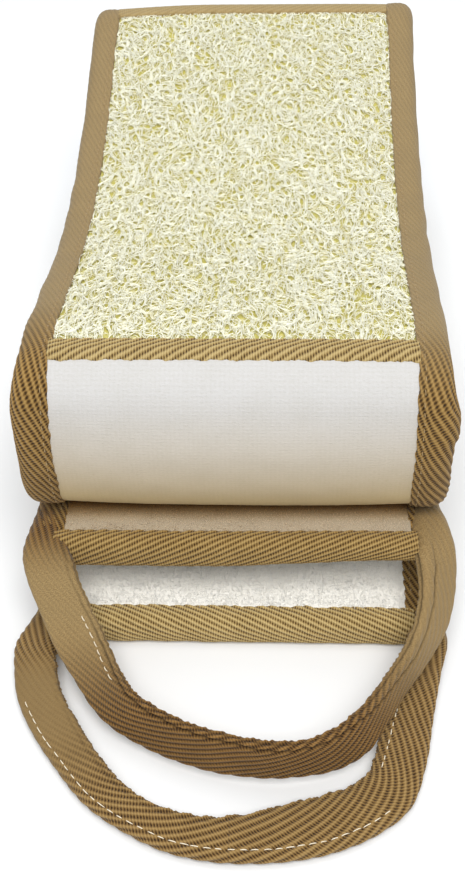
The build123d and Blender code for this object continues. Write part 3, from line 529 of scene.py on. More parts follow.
def terry(side, i, s0, s1, nodes, name):
    """One length of terry: closed sheet 1.6 mm thick with a soft crown and the pile's unevenness."""
    sg = 1 if side == "face" else -1
    ss = fine(s0, s1, 0.62, 1.1)
    xs = np.linspace(-46.9, 46.9, 152)
    X, V = np.meshgrid(xs, ss)
    lift = 0.42 if side == "face" else 0.38
    if side == "face":
        lift = lift + 1.35 * step(494, 512, V) * (1 - step(520, 541, V)) * (1 - (X / 46.9) ** 2)
    tuck = 0.55 * (1 - step(2.5, 7.5, np.minimum(V, LENGTH - V)))
    calm = 1 - 0.6 * ((V > 486) & (V < 560)) * (side == "face")
    top = 4.05 - tuck + lift * crown(X) + calm * (0.10 * wave2(X, V, 11, 9.0) * crown(X) + 0.035 * wave2(X, V, 31, 1.9))
    if side == "face":
        top = np.where(V < S[1] + 6, np.minimum(top, 4.30), top)       # lies on the table
    low = np.full_like(top, 2.45)
    rows = np.concatenate([place(X, V, sg * top), place(X, V, sg * low)[:, ::-1]], 1)
    uv = np.stack([np.concatenate([X, X[:, ::-1]], 1), np.concatenate([V, V], 1)], -1)
    V2 = np.concatenate([V, V], 1)
    if side == "face":
        # painted warm shade: the roll's lower side turns tan as it goes under, and the end run under the roll is tan,
        # fading near its band; elsewhere a faint cream tint
        cream_tint_and_painted_warm_shade = np.where(V2 < 575, 0.82 * np.clip((V2 - 495) / 36, 0, 1) ** 1.2 + 0.18 * step(530, 542, V2),
                         1.0 - 0.55 * step(LENGTH - 20, LENGTH - 7, V2))
        cream_tint_and_painted_warm_shade = np.where(V2 < 470, 0.10, cream_tint_and_painted_warm_shade)
    else:
        cream_tint_and_painted_warm_shade = 0.04 + 0 * V2
    # painted occlusion shade: the end run's terry darkens to brown towards the roll above it
    painted_occlusion_shade = (V2 > 600) * (1 - 0.9 * step(LENGTH - 21, LENGTH - 8, V2)) * (side == "face")
    ob = loft(name, rows, MAT_TERRY if side == "face" else MAT_TERRY_BACK_PAINTED_LIGHT, uv, {"cream_tint_and_painted_warm_shade": cream_tint_and_painted_warm_shade, "painted_occlusion_shade": painted_occlusion_shade})
    bend_with(ob, i)
    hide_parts(*nodes)
    return ob


FACE_NODES = [["face_terry_lower"], ["face_terry_back_fold"], [], ["face_terry_front_roll"], ["face_terry_tucked"],
              ["face_terry_inner_fold", "face_terry_end"]]
terry("face", 0, 2.6, MID_BACK, FACE_NODES[0], "terry_face_lower")
terry("face", 1, MID_BACK, 291.5, FACE_NODES[1], "terry_face_back")
terry("face", 2, 487.6, MID_ROLL, [], "terry_face_roll_upper")
terry("face", 3, MID_ROLL, MID_TUCKED, FACE_NODES[3] + FACE_NODES[4], "terry_face_roll_lower")
terry("face", 4, MID_TUCKED, MID_INNER, [], "terry_face_tucked")
terry("face", 5, MID_INNER, LENGTH - 2.6, FACE_NODES[5], "terry_face_end")
BACK_NODES = [["back_terry_lower"], ["back_terry_back_fold"], ["back_terry_top"], ["back_terry_front_roll"],
              ["back_terry_tucked"], ["back_terry_inner_fold", "back_terry_end"]]
for i in range(6):
    a, b = max(CUTS[i], 2.6), min(CUTS[i + 1], LENGTH - 2.6)
    terry("back", i, a, b, BACK_NODES[i], f"terry_back_{RUN[i]}")

# wadding core
CORE_NODES = [["core_lower"], ["core_back_fold"], ["core_top"], ["core_front_roll"], ["core_tucked"],
              ["core_inner_fold", "core_end"]]
for i in range(6):
    a, b = max(CUTS[i], 1.5), min(CUTS[i + 1], LENGTH - 1.5)
    ss = np.linspace(a, b, max(12, int((b - a) / 2.0)))
    xs = np.linspace(-50.5, 50.5, 60)
    X, V = np.meshgrid(xs, ss)
    hi = 2.30 - 0.9 * np.abs(X / 50.5) ** 8 + 0.10 * wave2(X, V, 51 + i, 6.0)
    lo = -2.35 + 0.9 * np.abs(X / 50.5) ** 8 + 0.10 * wave2(X, V, 61 + i, 6.0)
    rows = np.concatenate([place(X, V, hi), place(X, V, lo)[:, ::-1]], 1)
    uv = np.stack([np.concatenate([X, X[:, ::-1]], 1), np.concatenate([V, V], 1)], -1)
    ob = loft(f"wadding_{RUN[i]}", rows, MAT_WAD, uv)
    bend_with(ob, i)
    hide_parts(*CORE_NODES[i])


# ------------------------------------------------------------------------------------------------ pile tufts
def pile(name, i, sg, s0, s1, density, length, lean, seed, radius=0.15, edge=46.2, cream_tint_and_painted_warm_shade=0.0):
    """Short tufts of terry pile standing on one side of the strip between s0 and s1, leaning along the strip."""
    g = np.random.default_rng(seed)
    n = int(density * (s1 - s0) * 2 * edge)
    x, s = g.uniform(-edge, edge, n), g.uniform(s0, s1, n)
    ln = length * g.uniform(0.6, 1.25, n)
    dx = g.normal(0, 0.20, n) * ln
    ds = (lean + g.normal(0, 0.22, n)) * ln
    base = 4.0 + 0.40 * crown(x)
    k = 3
    t = np.linspace(0, 1, k)[None, :]
    X = x[:, None] + dx[:, None] * t
    Sg = s[:, None] + ds[:, None] * t ** 1.3
    O = base[:, None] + (ln[:, None] * 0.85) * np.sin(t * 1.9) ** 0.9 - 0.1
    if sg > 0 and s1 < S[1] + 6:
        O = np.minimum(O, 4.42)
    pts = place(X, Sg, sg * O)
    nrm = normal(Sg) * sg + np.array([1e-3, 0, 0])
    ref = np.cross(nrm, np.array([0.3, 0.2, 0.9])) + 0.01
    rad = radius * g.uniform(0.75, 1.2, n)[:, None] * np.array([1.0, 0.9, 0.35])[None, :]
    tone = np.repeat(g.uniform(0, 1, n)[:, None], k, 1) * 0.7 + 0.3 * t
    # the end run's tufts carry the painted warm shade and the painted occlusion shade, fading towards the end
    ob = strands(name, pts, rad, ref, MAT_PILE, 3, 1.0, {"tone": tone, "cream_tint_and_painted_warm_shade": cream_tint_and_painted_warm_shade * (1 - 0.6 * step(LENGTH - 17, LENGTH - 8, Sg)),
                                                             "painted_occlusion_shade": cream_tint_and_painted_warm_shade * (1 - 0.9 * step(LENGTH - 21, LENGTH - 8, Sg))})
    bend_with(ob, i)
    return ob


pile("pile_back_panel", 0, 1, 212.0, MID_BACK, 1.5, 0.42, 0.3, 3, 0.13)
pile("pile_back_panel_top", 1, 1, MID_BACK, 290.0, 1.5, 0.42, 0.3, 4, 0.13)
pile("pile_end_run", 5, 1, LENGTH - 30, LENGTH - 5.2, 5.0, 0.80, 0.9, 5, 0.060, cream_tint_and_painted_warm_shade=1.0)
pile("pile_lower_run", 0, -1, 6.2, 31.0, 5.4, 1.15, -1.0, 6, 0.060)
pile("pile_underside", 0, 1, 8.0, 200.0, 0.45, 0.4, 0.3, 7, 0.14)
pile("pile_back_upper", 2, -1, 420.0, 486.0, 0.8, 0.5, 0.3, 8, 0.14)


# ------------------------------------------------------------------------------------------------ loofah
def loofah_bed(name, i, s0, s1, nodes):
    ss = np.arange(s0, s1 + 1e-6, (s1 - s0) / round((s1 - s0) / 0.7))
    xs = np.linspace(-46.9, 46.9, 136)
    X, V = np.meshgrid(xs, ss)
    top = 3.38 + 0.35 * crown(X) + 0.20 * wave2(X, V, 71, 2.6, 22) + 0.10 * wave2(X, V, 72, 1.3, 18)
    low = np.full_like(top, 2.2)
    rows = np.concatenate([place(X, V, top), place(X, V, low)[:, ::-1]], 1)
    uv = np.stack([np.concatenate([X, X[:, ::-1]], 1), np.concatenate([V, V], 1)], -1)
    ob = loft(name, rows, MAT_BED, uv)
    bend_with(ob, i)
    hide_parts(*nodes)
    return ob


loofah_bed("loofah_bed_back", 1, 297.5, MID_TOP, ["loofah_panel"])
loofah_bed("loofah_bed_front", 2, MID_TOP, 484.0, ["loofah_panel"])


class Field:
    """Smooth random height map whose contour lines the fibres follow, so they ring the hollows as real ones do."""

    def __init__(self, seed, length, n=46):
        g = np.random.default_rng(seed)
        th, k = g.uniform(0, 2 * np.pi, n), 2 * np.pi / (length * g.uniform(0.75, 1.5, n))
        self.kx, self.ks, self.ph = k * np.cos(th), k * np.sin(th), g.uniform(0, 2 * np.pi, n)
        self.n = n

    def value(self, x, s):
        return np.sin(x[..., None] * self.kx + s[..., None] * self.ks + self.ph).sum(-1) * math.sqrt(2 / self.n)

    def grad(self, x, s):
        c = np.cos(x[..., None] * self.kx + s[..., None] * self.ks + self.ph)
        return (c * self.kx).sum(-1), (c * self.ks).sum(-1)


CELLS, BROAD = Field(5, 3.4), Field(6, 9.0)


LONG = ([250, 298, 345, 385, 415, 440, 462, 475, 490], [1.25, 1.25, 1.40, 1.65, 2.05, 2.35, 2.3, 1.9, 1.5])
_run = np.arange(250.0, 520.0, 0.5)
_even = np.concatenate([[0], np.cumsum(0.5 / np.interp(_run[:-1] + 0.25, *LONG))])


def stretch(s):
    """The mat's cells run longer along the strip than across it, as a flattened gourd's do."""
    return np.interp(s, *LONG)


def even(s):
    """Distance along the strip with that stretch taken out."""
    return np.interp(s, _run, _even)


def fibres(count, seed, follow, steps, stride, level, thick, keep_clear):
    """Fibre centrelines: (x, s, level 0..1, radius) arrays."""
    g = np.random.default_rng(seed)
    x = g.uniform(-46.9, 46.9, count * 2)
    s = np.interp(g.uniform(even(298.4), even(484.0), count * 2), _even, _run)
    hollow = CELLS.value(x, even(s)) + 0.55 * BROAD.value(x, even(s))
    ok = g.uniform(0, 1, count * 2) > keep_clear * step(0.45, 1.35, hollow)
    x, s = x[ok][:count], s[ok][:count]
    n = len(x)
    head = g.uniform(0, 2 * np.pi, n)
    turn = g.normal(0, 0.16, n)
    xs, sl = [x], [s]
    sign = np.where(g.uniform(0, 1, n) < 0.5, 1.0, -1.0)
    mixw = {"cells": 0.80, "broad": 0.55, "free": 0.05}[follow]
    k = stretch(s)
    for _ in range(steps):
        gx, gs = (CELLS if follow != "broad" else BROAD).grad(x, even(s))
        ln = np.hypot(gx, gs) + 1e-6
        cx, cs = -gs / ln * sign, gx / ln * sign
        vx = mixw * cx + (1 - mixw) * np.cos(head)
        vs = mixw * cs + (1 - mixw) * np.sin(head)
        ln = np.hypot(vx, vs) + 1e-6
        x, s = x + vx / ln * stride, s + vs / ln * stride * k
        head = head + turn + g.normal(0, 0.22, n)
        xs.append(x)
        sl.append(s)
    X, Sl = np.stack(xs, 1), np.stack(sl, 1)
    lv = np.clip(g.normal(level[0], level[1], n), 0, 1)[:, None] + 0.12 * np.sin(
        np.linspace(0, 1, steps + 1)[None, :] * g.uniform(3, 8, n)[:, None] + g.uniform(0, 6.3, n)[:, None])
    r = thick * g.uniform(0.7, 1.3, n)[:, None] * np.concatenate([[0.55], np.ones(steps - 1), [0.55]])[None, :]
    inside = (np.abs(X).max(1) < 47.6) & (Sl.min(1) > 297.4) & (Sl.max(1) < 484.8)
    return X[inside], Sl[inside], np.clip(lv, 0, 1.1)[inside], r[inside]


sets = [fibres(8000, 21, "cells", 7, 0.52, (0.20, 0.14), 0.112, 0.35),
        fibres(11500, 22, "cells", 7, 0.50, (0.55, 0.17), 0.108, 0.90),
        fibres(3200, 23, "broad", 8, 0.60, (0.64, 0.16), 0.106, 0.80),
        fibres(5200, 24, "free", 6, 0.52, (0.74, 0.15), 0.096, 0.82)]
count = 0
for j, (X, Sl, lv, r) in enumerate(sets):
    O = 3.58 + 0.35 * crown(X) + 1.00 * lv
    rim = (np.abs(X) > 45.4) | (Sl < 299.8) | (Sl > 482.2)
    O = np.where(rim, np.minimum(O, 4.22), O)
    pts = place(X, Sl, O)
    nrm = normal(Sl)
    uv = np.stack([X, Sl], -1)
    ms = Sl.mean(1)
    for half, (lo, hi, i) in enumerate(((0, MID_TOP, 1), (MID_TOP, 1e9, 2))):
        pick = np.nonzero((ms >= lo) & (ms < hi))[0]
        for c in range(0, len(pick), 3400):
            p = pick[c:c + 3400]
            if not len(p):
                continue
            count += 1
            ob = strands(f"loofah_fibres_{count:02d}", pts[p], r[p], nrm[p], MAT_FIBRE, 3, 0.62, {"tone": lv[p]}, uv[p])
            bend_with(ob, i)


# ------------------------------------------------------------------------------------------------ side binding tape
def binding_outline(spacing):
    """Outline of the folded tape in (distance in from 50, offset) with its path length, outside then inside."""
    top = [(-3.75, 3.7), (-3.7, 4.25), (-3.3, 4.62), (-2.6, 4.72), (-1.2, 4.78), (0.0, 4.78)]
    th = np.linspace(np.pi / 2, 0, 40)[1:]
    arc = [(5.0 * math.cos(t) ** 0.80, 4.78 * max(math.sin(t), 0) ** 0.80) for t in th]
    half = np.array(top + arc)
    full = np.concatenate([half, (half * [1, -1])[::-1][1:]])
    d = np.concatenate([[0], np.cumsum(np.linalg.norm(np.diff(full, axis=0), axis=1))])
    n = int(round(d[-1] / spacing))
    t = np.linspace(0, d[-1], n + 1)
    pts = np.stack([np.interp(t, d, full[:, 0]), np.interp(t, d, full[:, 1])], 1)
    tan = np.gradient(pts, axis=0)
    tan /= np.linalg.norm(tan, axis=1, keepdims=True)
    return pts, np.stack([-tan[:, 1], tan[:, 0]], 1), t - d[-1] / 2


INSIDE = np.array([(-3.0, -3.0), (2.0, -2.2), (3.1, -1.2), (3.3, 0.0), (3.1, 1.2), (2.0, 2.2), (-3.0, 3.0)])


def half_width(s, side):
    """How far out the tape's edge is, mm: it bulges at the front roll and wavers a little."""
    w = 54.9 + 1.5 * step(484, 502, s) * (1 - step(540, 556, s)) + 0.5 * step(LENGTH - 60, LENGTH - 20, s)
    if side > 0:
        w = w + 0.9 * step(494, 502, s) * (1 - step(506, 509, s))
    return w + 0.22 * wave(s, 81 if side < 0 else 82, 26.0) - 0.3 * step(318, 300, s)


SIDE_TURN, SIDE_SLANT = math.radians(-25), -0.35


def binding(side, i, s0, s1, nodes, name, show=0.34, hidden=0.62):
    ss = fine(s0, s1, show, hidden)
    pts, nrm, u = binding_outline(0.36)
    nrm = nrm if nrm[len(nrm) // 2, 0] > 0 else -nrm
    V, U = np.meshgrid(ss, u, indexing="ij")
    w = half_width(ss, side)[:, None]
    dx, off = pts[None, :, 0], pts[None, :, 1]
    crisp = 1 - 0.66 * step(200, 300, V) * (1 - (step(474, 499, V) if side > 0 else step(458, 496, V)))
    lump = np.exp(-(((V - (297 if side > 0 else 299)) / 7.5) ** 2)) * (1.0 if side > 0 else 0.5)
    relief = (0.36 * twill(U, V * -side, SIDE_TURN, RIB, SIDE_SLANT) - 0.22) * crisp + 0.75 * lump * (off > -1)
    seam = np.exp(-(((np.abs(U) - (u[-1] - 2.0)) / 0.30) ** 2))
    relief = relief - 0.14 * seam
    hem = 0.16 * wave2(V, U * 0 + side, 83, 3.2) * (np.abs(U) > u[-1] - 1.6)
    soft = 0.18 * wave2(V, U, 84, 13.0)
    X = 50.0 + dx * np.where(dx > 0, (w - 50.0) / 5.0, 1.0) + nrm[None, :, 0] * (relief + soft) + hem
    O = off + nrm[None, :, 1] * (relief + soft * 0.4)
    if side > 0:                                                       # the sewn-in end narrows under the handle's root
        X = np.where(X > 50, 50 + (X - 50) * (1 - 0.62 * step(LENGTH - 11, LENGTH - 2, V)), X)
    ends = 1 - 0.34 * (1 - step(0.0, 5.0, ss)) - (0.90 if side > 0 else 0.4) * step(LENGTH - (14.0 if side > 0 else 8.0), LENGTH - 1.0, ss) ** 1.3
    O = O * ends[:, None]
    O = np.where((V < S[1] + 6) & (O > 4.42), 4.42, O)                 # flat on the table
    ins = np.broadcast_to(INSIDE[None], (len(ss),) + INSIDE.shape)
    X = np.concatenate([X, 50.0 + ins[:, :, 0]], 1)
    O = np.concatenate([O, ins[:, :, 1] * ends[:, None]], 1)
    V2 = np.broadcast_to(ss[:, None], X.shape)
    rows = place(side * X, V2, O)
    U2 = np.concatenate([U, np.broadcast_to(np.linspace(14, 26, len(INSIDE))[None], ins.shape[:2])], 1)
    uv = np.stack([U2, V2 * -side], -1)
    cr = np.broadcast_to(crisp[:, :1], V2.shape)
    ob = loft(name, rows, MAT_TAPE_SIDE, uv, {"crisp": cr})
    bend_with(ob, i)
    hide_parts(*nodes)
    return ob


MAT_TAPE_SIDE = tape_material("cotton_tape_side", SIDE_TURN, T_LIGHT, T_MID, T_DARK, PALE_SIDE, RIB, SIDE_SLANT, 0.20)
KINDS = [["lower"], ["back_fold"], ["top"], ["front_roll"], ["tucked"], ["inner_fold", "end"]]
for side, word in ((LEFT, "left"), (RIGHT, "right")):
    for i in range(6):
        parts = [(CUTS[i], CUTS[i + 1], RUN[i])]
        if i in (0, 1, 2):
            m = (CUTS[i] + CUTS[i + 1]) / 2
            parts = [(CUTS[i], m, RUN[i] + "_a"), (m, CUTS[i + 1], RUN[i] + "_b")]
        for a, b, nm in parts:
            binding(side, i, a, b, [f"binding_{word}_{k}" for k in KINDS[i]], f"binding_{word}_{nm}")


# ------------------------------------------------------------------------------------------------ cross bands
def cross_band(name, i, s0, s1, node, seed, crisp=1.0):
    ss_n = int(round((s1 - s0 + 2.0) / 0.30))
    xs = np.arange(-46.9, 46.9 + 1e-6, 93.8 / 300)
    u = np.linspace(-(s1 - s0) / 2 - 0.9, (s1 - s0) / 2 + 0.9, ss_n)
    X, U = np.meshgrid(xs, u, indexing="ij")
    half = (s1 - s0) / 2
    e = np.clip((np.abs(U) - (half - 0.55)) / 1.45, 0, 1)
    prof = 4.72 + 0.22 * crown(X) + 0.25 * (1 - (U / half) ** 2) - 1.6 * e ** 2.2
    reach = np.sign(U) * np.minimum(np.abs(U), half - 0.1 + 0.35 * (1 - np.exp(-np.maximum(np.abs(U) - half + 0.1, 0) / 0.4)))
    edge = 0.16 * wave(X, seed, 7.0) + 0.10 * wave(X, seed + 7, 1.6) * (np.abs(U) > half - 0.8)
    V = (s0 + s1) / 2 + reach + edge * (0.4 + 0.6 * np.abs(U) / half)
    relief = (0.38 * twill(U, X, BAND_TURN) - 0.24) * crisp
    relief *= 1 - 0.7 * e
    seam = np.exp(-(((np.abs(U) - (half - 1.5)) / 0.28) ** 2))
    top = prof + relief - 0.12 * seam
    low = np.full((len(xs), 2), 3.3)
    Xf = np.concatenate([X, X[:, :2]], 1)
    Vf = np.concatenate([V, V[:, -1:], V[:, :1]], 1)
    O = np.concatenate([top, low], 1)
    uv = np.stack([np.concatenate([U, U[:, -1:], U[:, :1]], 1), Xf], -1)
    ob = loft(name, place(Xf, Vf, O), MAT_BAND, uv, {"crisp": np.full(Xf.shape, crisp)})
    bend_with(ob, i)
    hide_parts(node)
    return ob


cross_band("cross_band_rear", 1, 290.2, 298.6, "cross_band_back", 91, 0.45)
cross_band("cross_band_fore", 2, 483.0, 489.3, "cross_band_front", 92)


# ------------------------------------------------------------------------------------------------ end bindings
def end_binding(name, i, at_end, node, body, seed):
    """Tape folded over a cut end. at_end 0 is end A, 1 is end B."""
    turn, material = BAND_TURN, (MAT_BAND_A_PAINTED_LIGHT if at_end == 0 else MAT_BAND_B_PAINTED_SHADE)
    reach = 5.9 if at_end == 0 else 5.2
    top = [(reach, 3.6), (reach - 0.05, 4.2), (reach - 0.4, 4.62), (reach - 1.0, 4.80), (3.4, 4.86), (3.0, 4.88)]
    tip = 4.3 if at_end == 0 else 3.7
    th = np.linspace(np.pi / 2, 0, 34)[1:]
    arc = [(3.0 - tip * math.cos(t) ** 0.85, 4.88 * max(math.sin(t), 0) ** 0.85) for t in th]
    half = np.array(top + arc)
    full = np.concatenate([half, (half * [1, -1])[::-1][1:]])
    d = np.concatenate([[0], np.cumsum(np.linalg.norm(np.diff(full, axis=0), axis=1))])
    n = int(round(d[-1] / 0.30))
    t = np.linspace(0, d[-1], n + 1)
    e, off = np.interp(t, d, full[:, 0]), np.interp(t, d, full[:, 1])
    u = t - d[-1] / 2
    tan = np.stack([np.gradient(e), np.gradient(off)], 1)
    tan /= np.linalg.norm(tan, axis=1, keepdims=True)
    nrm = np.stack([tan[:, 1], -tan[:, 0]], 1)
    if nrm[len(nrm) // 2, 0] > 0:
        nrm = -nrm
    xs = np.arange(-48.6, 48.6 + 1e-6, 97.2 / 310)
    X, U = np.meshgrid(xs, u, indexing="ij")
    rim = np.abs(U) > u[-1] - 1.0
    hem = 0.20 * wave(X, seed, 6.0) * np.clip((e[None] - 3) / 2.5, 0, 1) + 0.15 * wave(X, seed + 9, 1.6) * rim
    seam = np.exp(-(((np.abs(U) - (u[-1] - 2.0)) / 0.28) ** 2))
    relief = 0.40 * twill(U, X, turn) - 0.26 - 0.16 * seam + 0.16 * wave2(X, U, seed + 1, 11.0)
    E = e[None] + hem + nrm[None, :, 0] * relief
    O = off[None] + nrm[None, :, 1] * relief
    ins = np.array([(4.6, -2.9), (1.9, -2.4), (1.5, 0.0), (1.9, 2.4), (4.6, 2.9)])
    E = np.concatenate([E, np.broadcast_to(ins[None, :, 0], (len(xs), 5))], 1)
    O = np.concatenate([O, np.broadcast_to(ins[None, :, 1], (len(xs), 5))], 1)
    Xf = np.concatenate([X, np.broadcast_to(xs[:, None], (len(xs), 5))], 1)
    if at_end == 0:
        O = np.minimum(O, 4.42)
    s = E if at_end == 0 else LENGTH - E
    uv = np.stack([np.concatenate([U, np.broadcast_to(np.linspace(12, 20, 5)[None], (len(xs), 5))], 1), Xf], -1)
    ob = loft(name, place(Xf, s, O), material, uv, {"crisp": np.ones(Xf.shape)})
    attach(ob, body)
    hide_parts(node)
    return ob


end_binding("end_tape_a", 0, 0, "end_binding_a", "lower_run", 93)
end_binding("end_tape_b", 5, 1, "end_binding_b", "end_run", 95)


# ------------------------------------------------------------------------------------------------ seam stitches
def seam_stitches(name, i, s0, s1, side, sg, x_at, pitch, seed, material):
    g = np.random.default_rng(seed)
    s = np.arange(s0, s1, pitch)
    s = s + g.normal(0, 0.10, len(s))
    x = side * (x_at + 0.12 * wave(s, seed, 9.0))
    t = np.linspace(-1, 1, 5)[None, :]
    Sg = s[:, None] + 0.62 * t
    X = x[:, None] + 0.10 * t
    O = 4.70 + 0.14 * (1 - t ** 2) * np.ones_like(Sg) - 0.30 * np.abs(t) ** 3
    pts = place(X, Sg, sg * O)
    rad = np.broadcast_to(0.16 * (1 - 0.55 * np.abs(t) ** 3), Sg.shape)
    ob = strands(name, pts, rad, normal(Sg) * sg, material, 6, 0.8, None, np.stack([X, Sg], -1))
    bend_with(ob, i)
    return ob


for side, word in ((LEFT, "left"), (RIGHT, "right")):
    seam_stitches(f"seam_{word}_back", 1, MID_BACK, MID_TOP, side, 1, 48.0, 2.1, 101, MAT_TAN)
    seam_stitches(f"seam_{word}_top", 2, MID_TOP, MID_ROLL, side, 1, 48.0, 2.1, 103, MAT_TAN)
    seam_stitches(f"seam_{word}_roll", 3, MID_ROLL, 556.0, side, 1, 48.0, 2.1, 105, MAT_TAN)
    seam_stitches(f"seam_{word}_lower", 0, 12.0, MID_BACK, side, -1, 48.0, 2.1, 107, MAT_TAN)
    seam_stitches(f"seam_{word}_end", 5, MID_INNER, LENGTH - 12, side, 1, 48.0, 2.1, 109, MAT_TAN)


# ------------------------------------------------------------------------------------------------ handle loops
# (outer or lower edge), (inner or upper edge), thickness; mm, before the shift in Y
A_STATIONS = [
    ((-55.0, 6.0, 4.5), (-46.2, 6.0, 4.5), 8.4), ((-55.6, -2.0, 4.6), (-46.3, -2.0, 4.9), 8.3),
    ((-57.4, -7.5, 4.6), (-46.5, -8.0, 5.8), 7.4), ((-59.7, -13.2, 4.3), (-48.0, -15.6, 7.0), 4.9),
    ((-59.0, -21.0, 3.4), (-47.2, -22.2, 7.2), 3.5), ((-57.0, -29.7, 2.6), (-44.6, -30.9, 7.2), 3.0),
    ((-52.2, -39.4, 2.2), (-40.1, -38.6, 7.0), 2.8), ((-44.5, -50.6, 2.0), (-34.8, -47.0, 6.6), 2.8),
    ((-35.3, -61.7, 2.0), (-26.7, -56.9, 6.0), 2.8), ((-24.9, -69.1, 2.0), (-18.9, -62.4, 5.4), 2.8),
    ((-14.5, -74.2, 2.0), (-10.6, -65.1, 5.0), 2.8), ((-4.3, -76.4, 2.0), (-3.2, -65.8, 4.6), 2.8),
    ((6.3, -76.7, 2.0), (5.0, -64.5, 4.2), 2.8), ((17.0, -75.6, 2.0), (13.8, -61.4, 3.6), 2.8),
    ((27.6, -72.7, 2.0), (23.2, -58.4, 3.4), 2.8), ((37.1, -67.7, 2.0), (30.6, -55.4, 3.8), 2.9),
    ((45.0, -60.6, 2.2), (34.9, -51.5, 4.4), 3.0), ((49.4, -48.4, 3.0), (37.2, -43.8, 4.6), 3.0),
    ((51.9, -35.2, 4.0), (40.3, -31.9, 4.4), 3.0), ((54.9, -20.4, 5.2), (44.3, -19.7, 4.2), 3.4),
    ((57.0, -12.2, 6.0), (46.6, -12.0, 4.6), 5.0), ((57.0, -7.0, 5.4), (46.6, -7.4, 4.9), 7.2),
    ((55.7, -1.0, 4.8), (46.3, -1.0, 4.7), 8.3), ((55.0, 6.0, 4.5), (46.2, 6.0, 4.5), 8.4),
]
B_STATIONS = [
    ((-55.6, 26.0, 24.3), (-46.4, 26.0, 24.3), 8.4), ((-55.5, 17.0, 25.8), (-46.2, 16.0, 26.2), 8.3),
    ((-56.3, 6.8, 27.0), (-45.6, 5.0, 28.4), 7.6), ((-56.9, -0.3, 26.0), (-43.0, -3.6, 29.8), 5.6),
    ((-55.3, -5.5, 23.4), (-40.8, -9.6, 28.0), 3.9), ((-52.9, -10.1, 20.2), (-38.3, -14.1, 25.0), 3.0),
    ((-47.3, -20.0, 13.2), (-33.0, -21.6, 18.2), 2.8), ((-42.3, -26.5, 9.4), (-29.6, -28.8, 16.6), 2.8),
    ((-33.8, -37.0, 5.8), (-24.6, -37.6, 16.6), 2.8), ((-25.2, -42.9, 4.2), (-17.9, -43.3, 17.0), 2.8),
    ((-13.3, -48.2, 3.4), (-8.3, -48.5, 17.2), 2.8), ((-1.9, -51.4, 3.2), (0.9, -51.5, 17.6), 2.8),
    ((7.9, -52.4, 3.2), (8.6, -53.6, 18.0), 2.8), ((17.7, -51.9, 3.2), (16.7, -53.6, 18.0), 2.8),
    ((28.0, -49.2, 3.4), (24.1, -50.7, 17.8), 2.8), ((34.9, -44.6, 4.4), (30.4, -45.8, 18.2), 2.8),
    ((39.4, -37.4, 5.8), (35.4, -40.2, 18.6), 2.8), ((44.0, -29.6, 7.8), (39.7, -33.8, 19.6), 2.9),
    ((50.0, -21.4, 10.2), (44.0, -27.0, 21.0), 3.0), ((55.4, -12.7, 13.2), (47.0, -20.4, 22.6), 3.1),
    ((57.9, -4.7, 17.4), (48.7, -13.6, 25.0), 3.2), ((58.6, 0.3, 20.8), (49.0, -7.0, 27.4), 3.7),
    ((58.4, 5.2, 25.2), (48.0, -0.3, 30.2), 5.6), ((57.2, 11.5, 27.4), (46.8, 9.6, 29.4), 7.6),
    ((56.0, 18.0, 26.0), (46.5, 18.0, 26.4), 8.3), ((55.6, 26.0, 23.8), (46.4, 26.0, 23.8), 8.2),
]


def spline(ctrl, spacing):
    """Catmull-Rom through rows of numbers (the first six are the two edges), evenly spaced along the middle."""
    c = np.array([np.r_[a, b, t] for a, b, t in ctrl])
    c[:, [1, 4]] += Y_SHIFT
    mid = (c[:, :3] + c[:, 3:6]) / 2
    knots = np.concatenate([[0], np.cumsum(np.linalg.norm(np.diff(mid, axis=0), axis=1) ** 0.5)])
    tan = np.gradient(c, knots, axis=0)
    dense = []
    for k in range(len(c) - 1):
        h = knots[k + 1] - knots[k]
        t = np.linspace(0, 1, 40, endpoint=k == len(c) - 2)[:, None]
        dense.append((2 * t**3 - 3 * t**2 + 1) * c[k] + (t**3 - 2 * t**2 + t) * h * tan[k]
                     + (-2 * t**3 + 3 * t**2) * c[k + 1] + (t**3 - t**2) * h * tan[k + 1])
    d = np.concatenate(dense)
    for _ in range(30):                                              # relaxes small kinks between stations
        d[1:-1] = 0.25 * d[:-2] + 0.5 * d[1:-1] + 0.25 * d[2:]
    m = (d[:, :3] + d[:, 3:6]) / 2
    run = np.concatenate([[0], np.cumsum(np.linalg.norm(np.diff(m, axis=0), axis=1))])
    n = int(round(run[-1] / spacing))
    t = np.linspace(0, run[-1], n + 1)
    return np.stack([np.interp(t, run, d[:, k]) for k in range(7)], 1), t


def axes_of(c):
    mid = (c[:, :3] + c[:, 3:6]) / 2
    a = c[:, 3:6] - c[:, :3]
    w = np.linalg.norm(a, axis=1)
    a = a / w[:, None]
    t = np.gradient(mid, axis=0)
    t /= np.linalg.norm(t, axis=1, keepdims=True)
    n = np.cross(t, a)
    n /= np.linalg.norm(n, axis=1, keepdims=True)
    return mid, a, t, n, w


